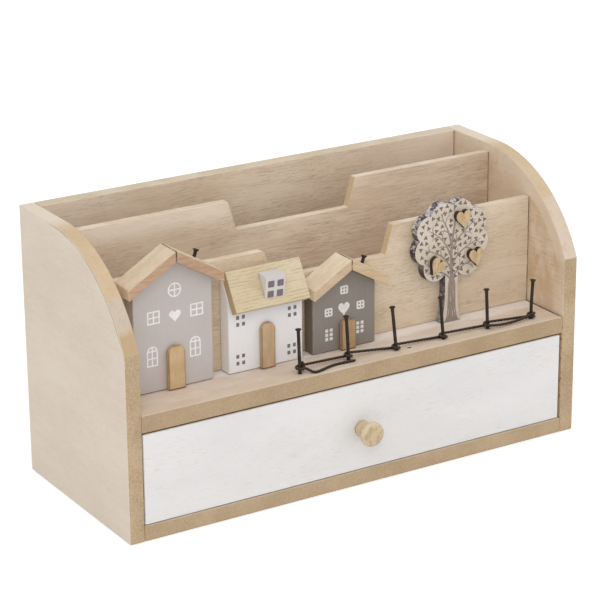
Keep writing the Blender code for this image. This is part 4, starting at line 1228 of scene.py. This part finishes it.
def fine_nail_profile(stand):
    """A nail with a slightly domed head, a cone under it and a shank that thins to its point."""
    shank, head, tall = NAIL_DIAMETER / 2, NAIL_HEAD_DIAMETER / 2, NAIL_HEAD_HEIGHT
    dome = [(0, stand), *arc((0, stand - tall * 0.2), (head * 0.93, tall * 0.2), math.pi / 2, 0.15, 5)[1:]]
    rim = [(head, 0.30), (head * 0.97, 0.52), (head * 0.80, 0.72), (shank * 1.25, 1.1), (shank, 1.5)]
    shaft = [(radius, stand - tall * share) for radius, share in rim]
    count = 9
    for i in range(1, count):
        shaft.append((shank * (0.97 + 0.03 * math.cos(i * 2.4)), (stand - tall * 1.5) * (1 - i / count)))
    return [*dome, *shaft, (shank, 0), (shank, NAIL_POINT - FENCE_BITE), (0, -FENCE_BITE)]


def make_nails(finish):
    """Nails a little bent, with heads a little out of true."""
    draw = random.Random(NAIL_SEED)
    for i, (foot, lean, stand) in enumerate(fence_feet()):
        bow = draw.uniform(-NAIL_BOW, NAIL_BOW)
        knock = draw.uniform(-NAIL_KNOCK, NAIL_KNOCK)

        def warp(co, bow=bow, stand=stand, knock=knock):
            share = max(0.0, co.z) / stand
            x = co.x + bow * math.sin(math.pi * share)
            z = co.z + (knock * co.x if share > 0.94 else 0.0)
            return Vector((x, co.y, min(z, stand)))

        matrix = Matrix.Translation(foot) @ Matrix.Rotation(lean, 4, "Y")
        bm = turned(fine_nail_profile(stand), NAIL_STEPS, matrix, warp)
        stand_in(f"iron_nail_{i + 1}", bm, finish, "case", f"fence_nail_{i + 1}")


KNOB_DIAMETER, KNOB_REACH = 0.0146, 0.0134
KNOB_FOOT_DIAMETER, KNOB_NECK_DIAMETER = 0.0094, 0.0076
KNOB_STEPS, KNOB_RIM_STEPS, KNOB_FACE_STEPS = 72, 16, 8
SCREW_DIAMETER, SCREW_BITE = 0.0034, 0.0075


def make_knob(finish):
    """The CAD knob with finer steps: a thin round-edged head, a waist and a small foot."""
    head, foot, neck = KNOB_DIAMETER / 2, KNOB_FOOT_DIAMETER / 2, KNOB_NECK_DIAMETER / 2
    shoulder, thick = head * 0.26, head * 0.33
    start, end = math.radians(68), math.radians(-75)
    dome = head * 0.06
    rim_height = KNOB_REACH - dome - thick * math.sin(start)
    edge = arc((head - shoulder, rim_height), (shoulder, thick), start, end, KNOB_RIM_STEPS)
    face_radius, face_height = edge[0]
    face = []
    for k in range(KNOB_FACE_STEPS):
        share = k / KNOB_FACE_STEPS
        face.append((face_radius * share, face_height + dome * (1 - share**2)))
    waist = rim_height - thick * 1.75
    hole, depth = SCREW_DIAMETER / 2 + GAP, SCREW_BITE + GAP
    low, foot_top, thin = waist - head * 0.32, head * 0.22, neck * 0.96
    throat = [(neck * 1.02, waist), (thin, (waist + low) / 2), (thin, low)]
    flare = [(thin + (foot - thin) * t**1.6, low + (foot_top - low) * t) for t in (0.25, 0.5, 0.75, 1.0)]
    profile = [*face, *edge, *throat, *flare, (foot, GAP), (hole, GAP), (hole, depth), (0, depth)]
    low_corner, high_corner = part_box("drawer_knob")
    x, z = (low_corner.x + high_corner.x) / 2, (low_corner.z + high_corner.z) / 2
    matrix = Matrix.Translation((x, FRONT, z)) @ Matrix.Rotation(math.pi / 2, 4, "X")
    bm = turned(profile, KNOB_STEPS, matrix)
    stand_in("turned_knob", bm, finish, "drawer", "drawer_knob")


# All of it

make_camera()
make_studio()
make_floor()
case_materials()
drawer_materials()
street_materials()
tree_materials()
nail_finish, twine_finish, knob_finish, screw_finish = small_materials()
nail_finish.give("grey_house_chimney", "dark_house_chimney")
screw_finish.give("knob_screw")
house_prints()
tree_print()
shelf_mark()
make_twine(twine_finish)
make_nails(nail_finish)
make_knob(knob_finish)
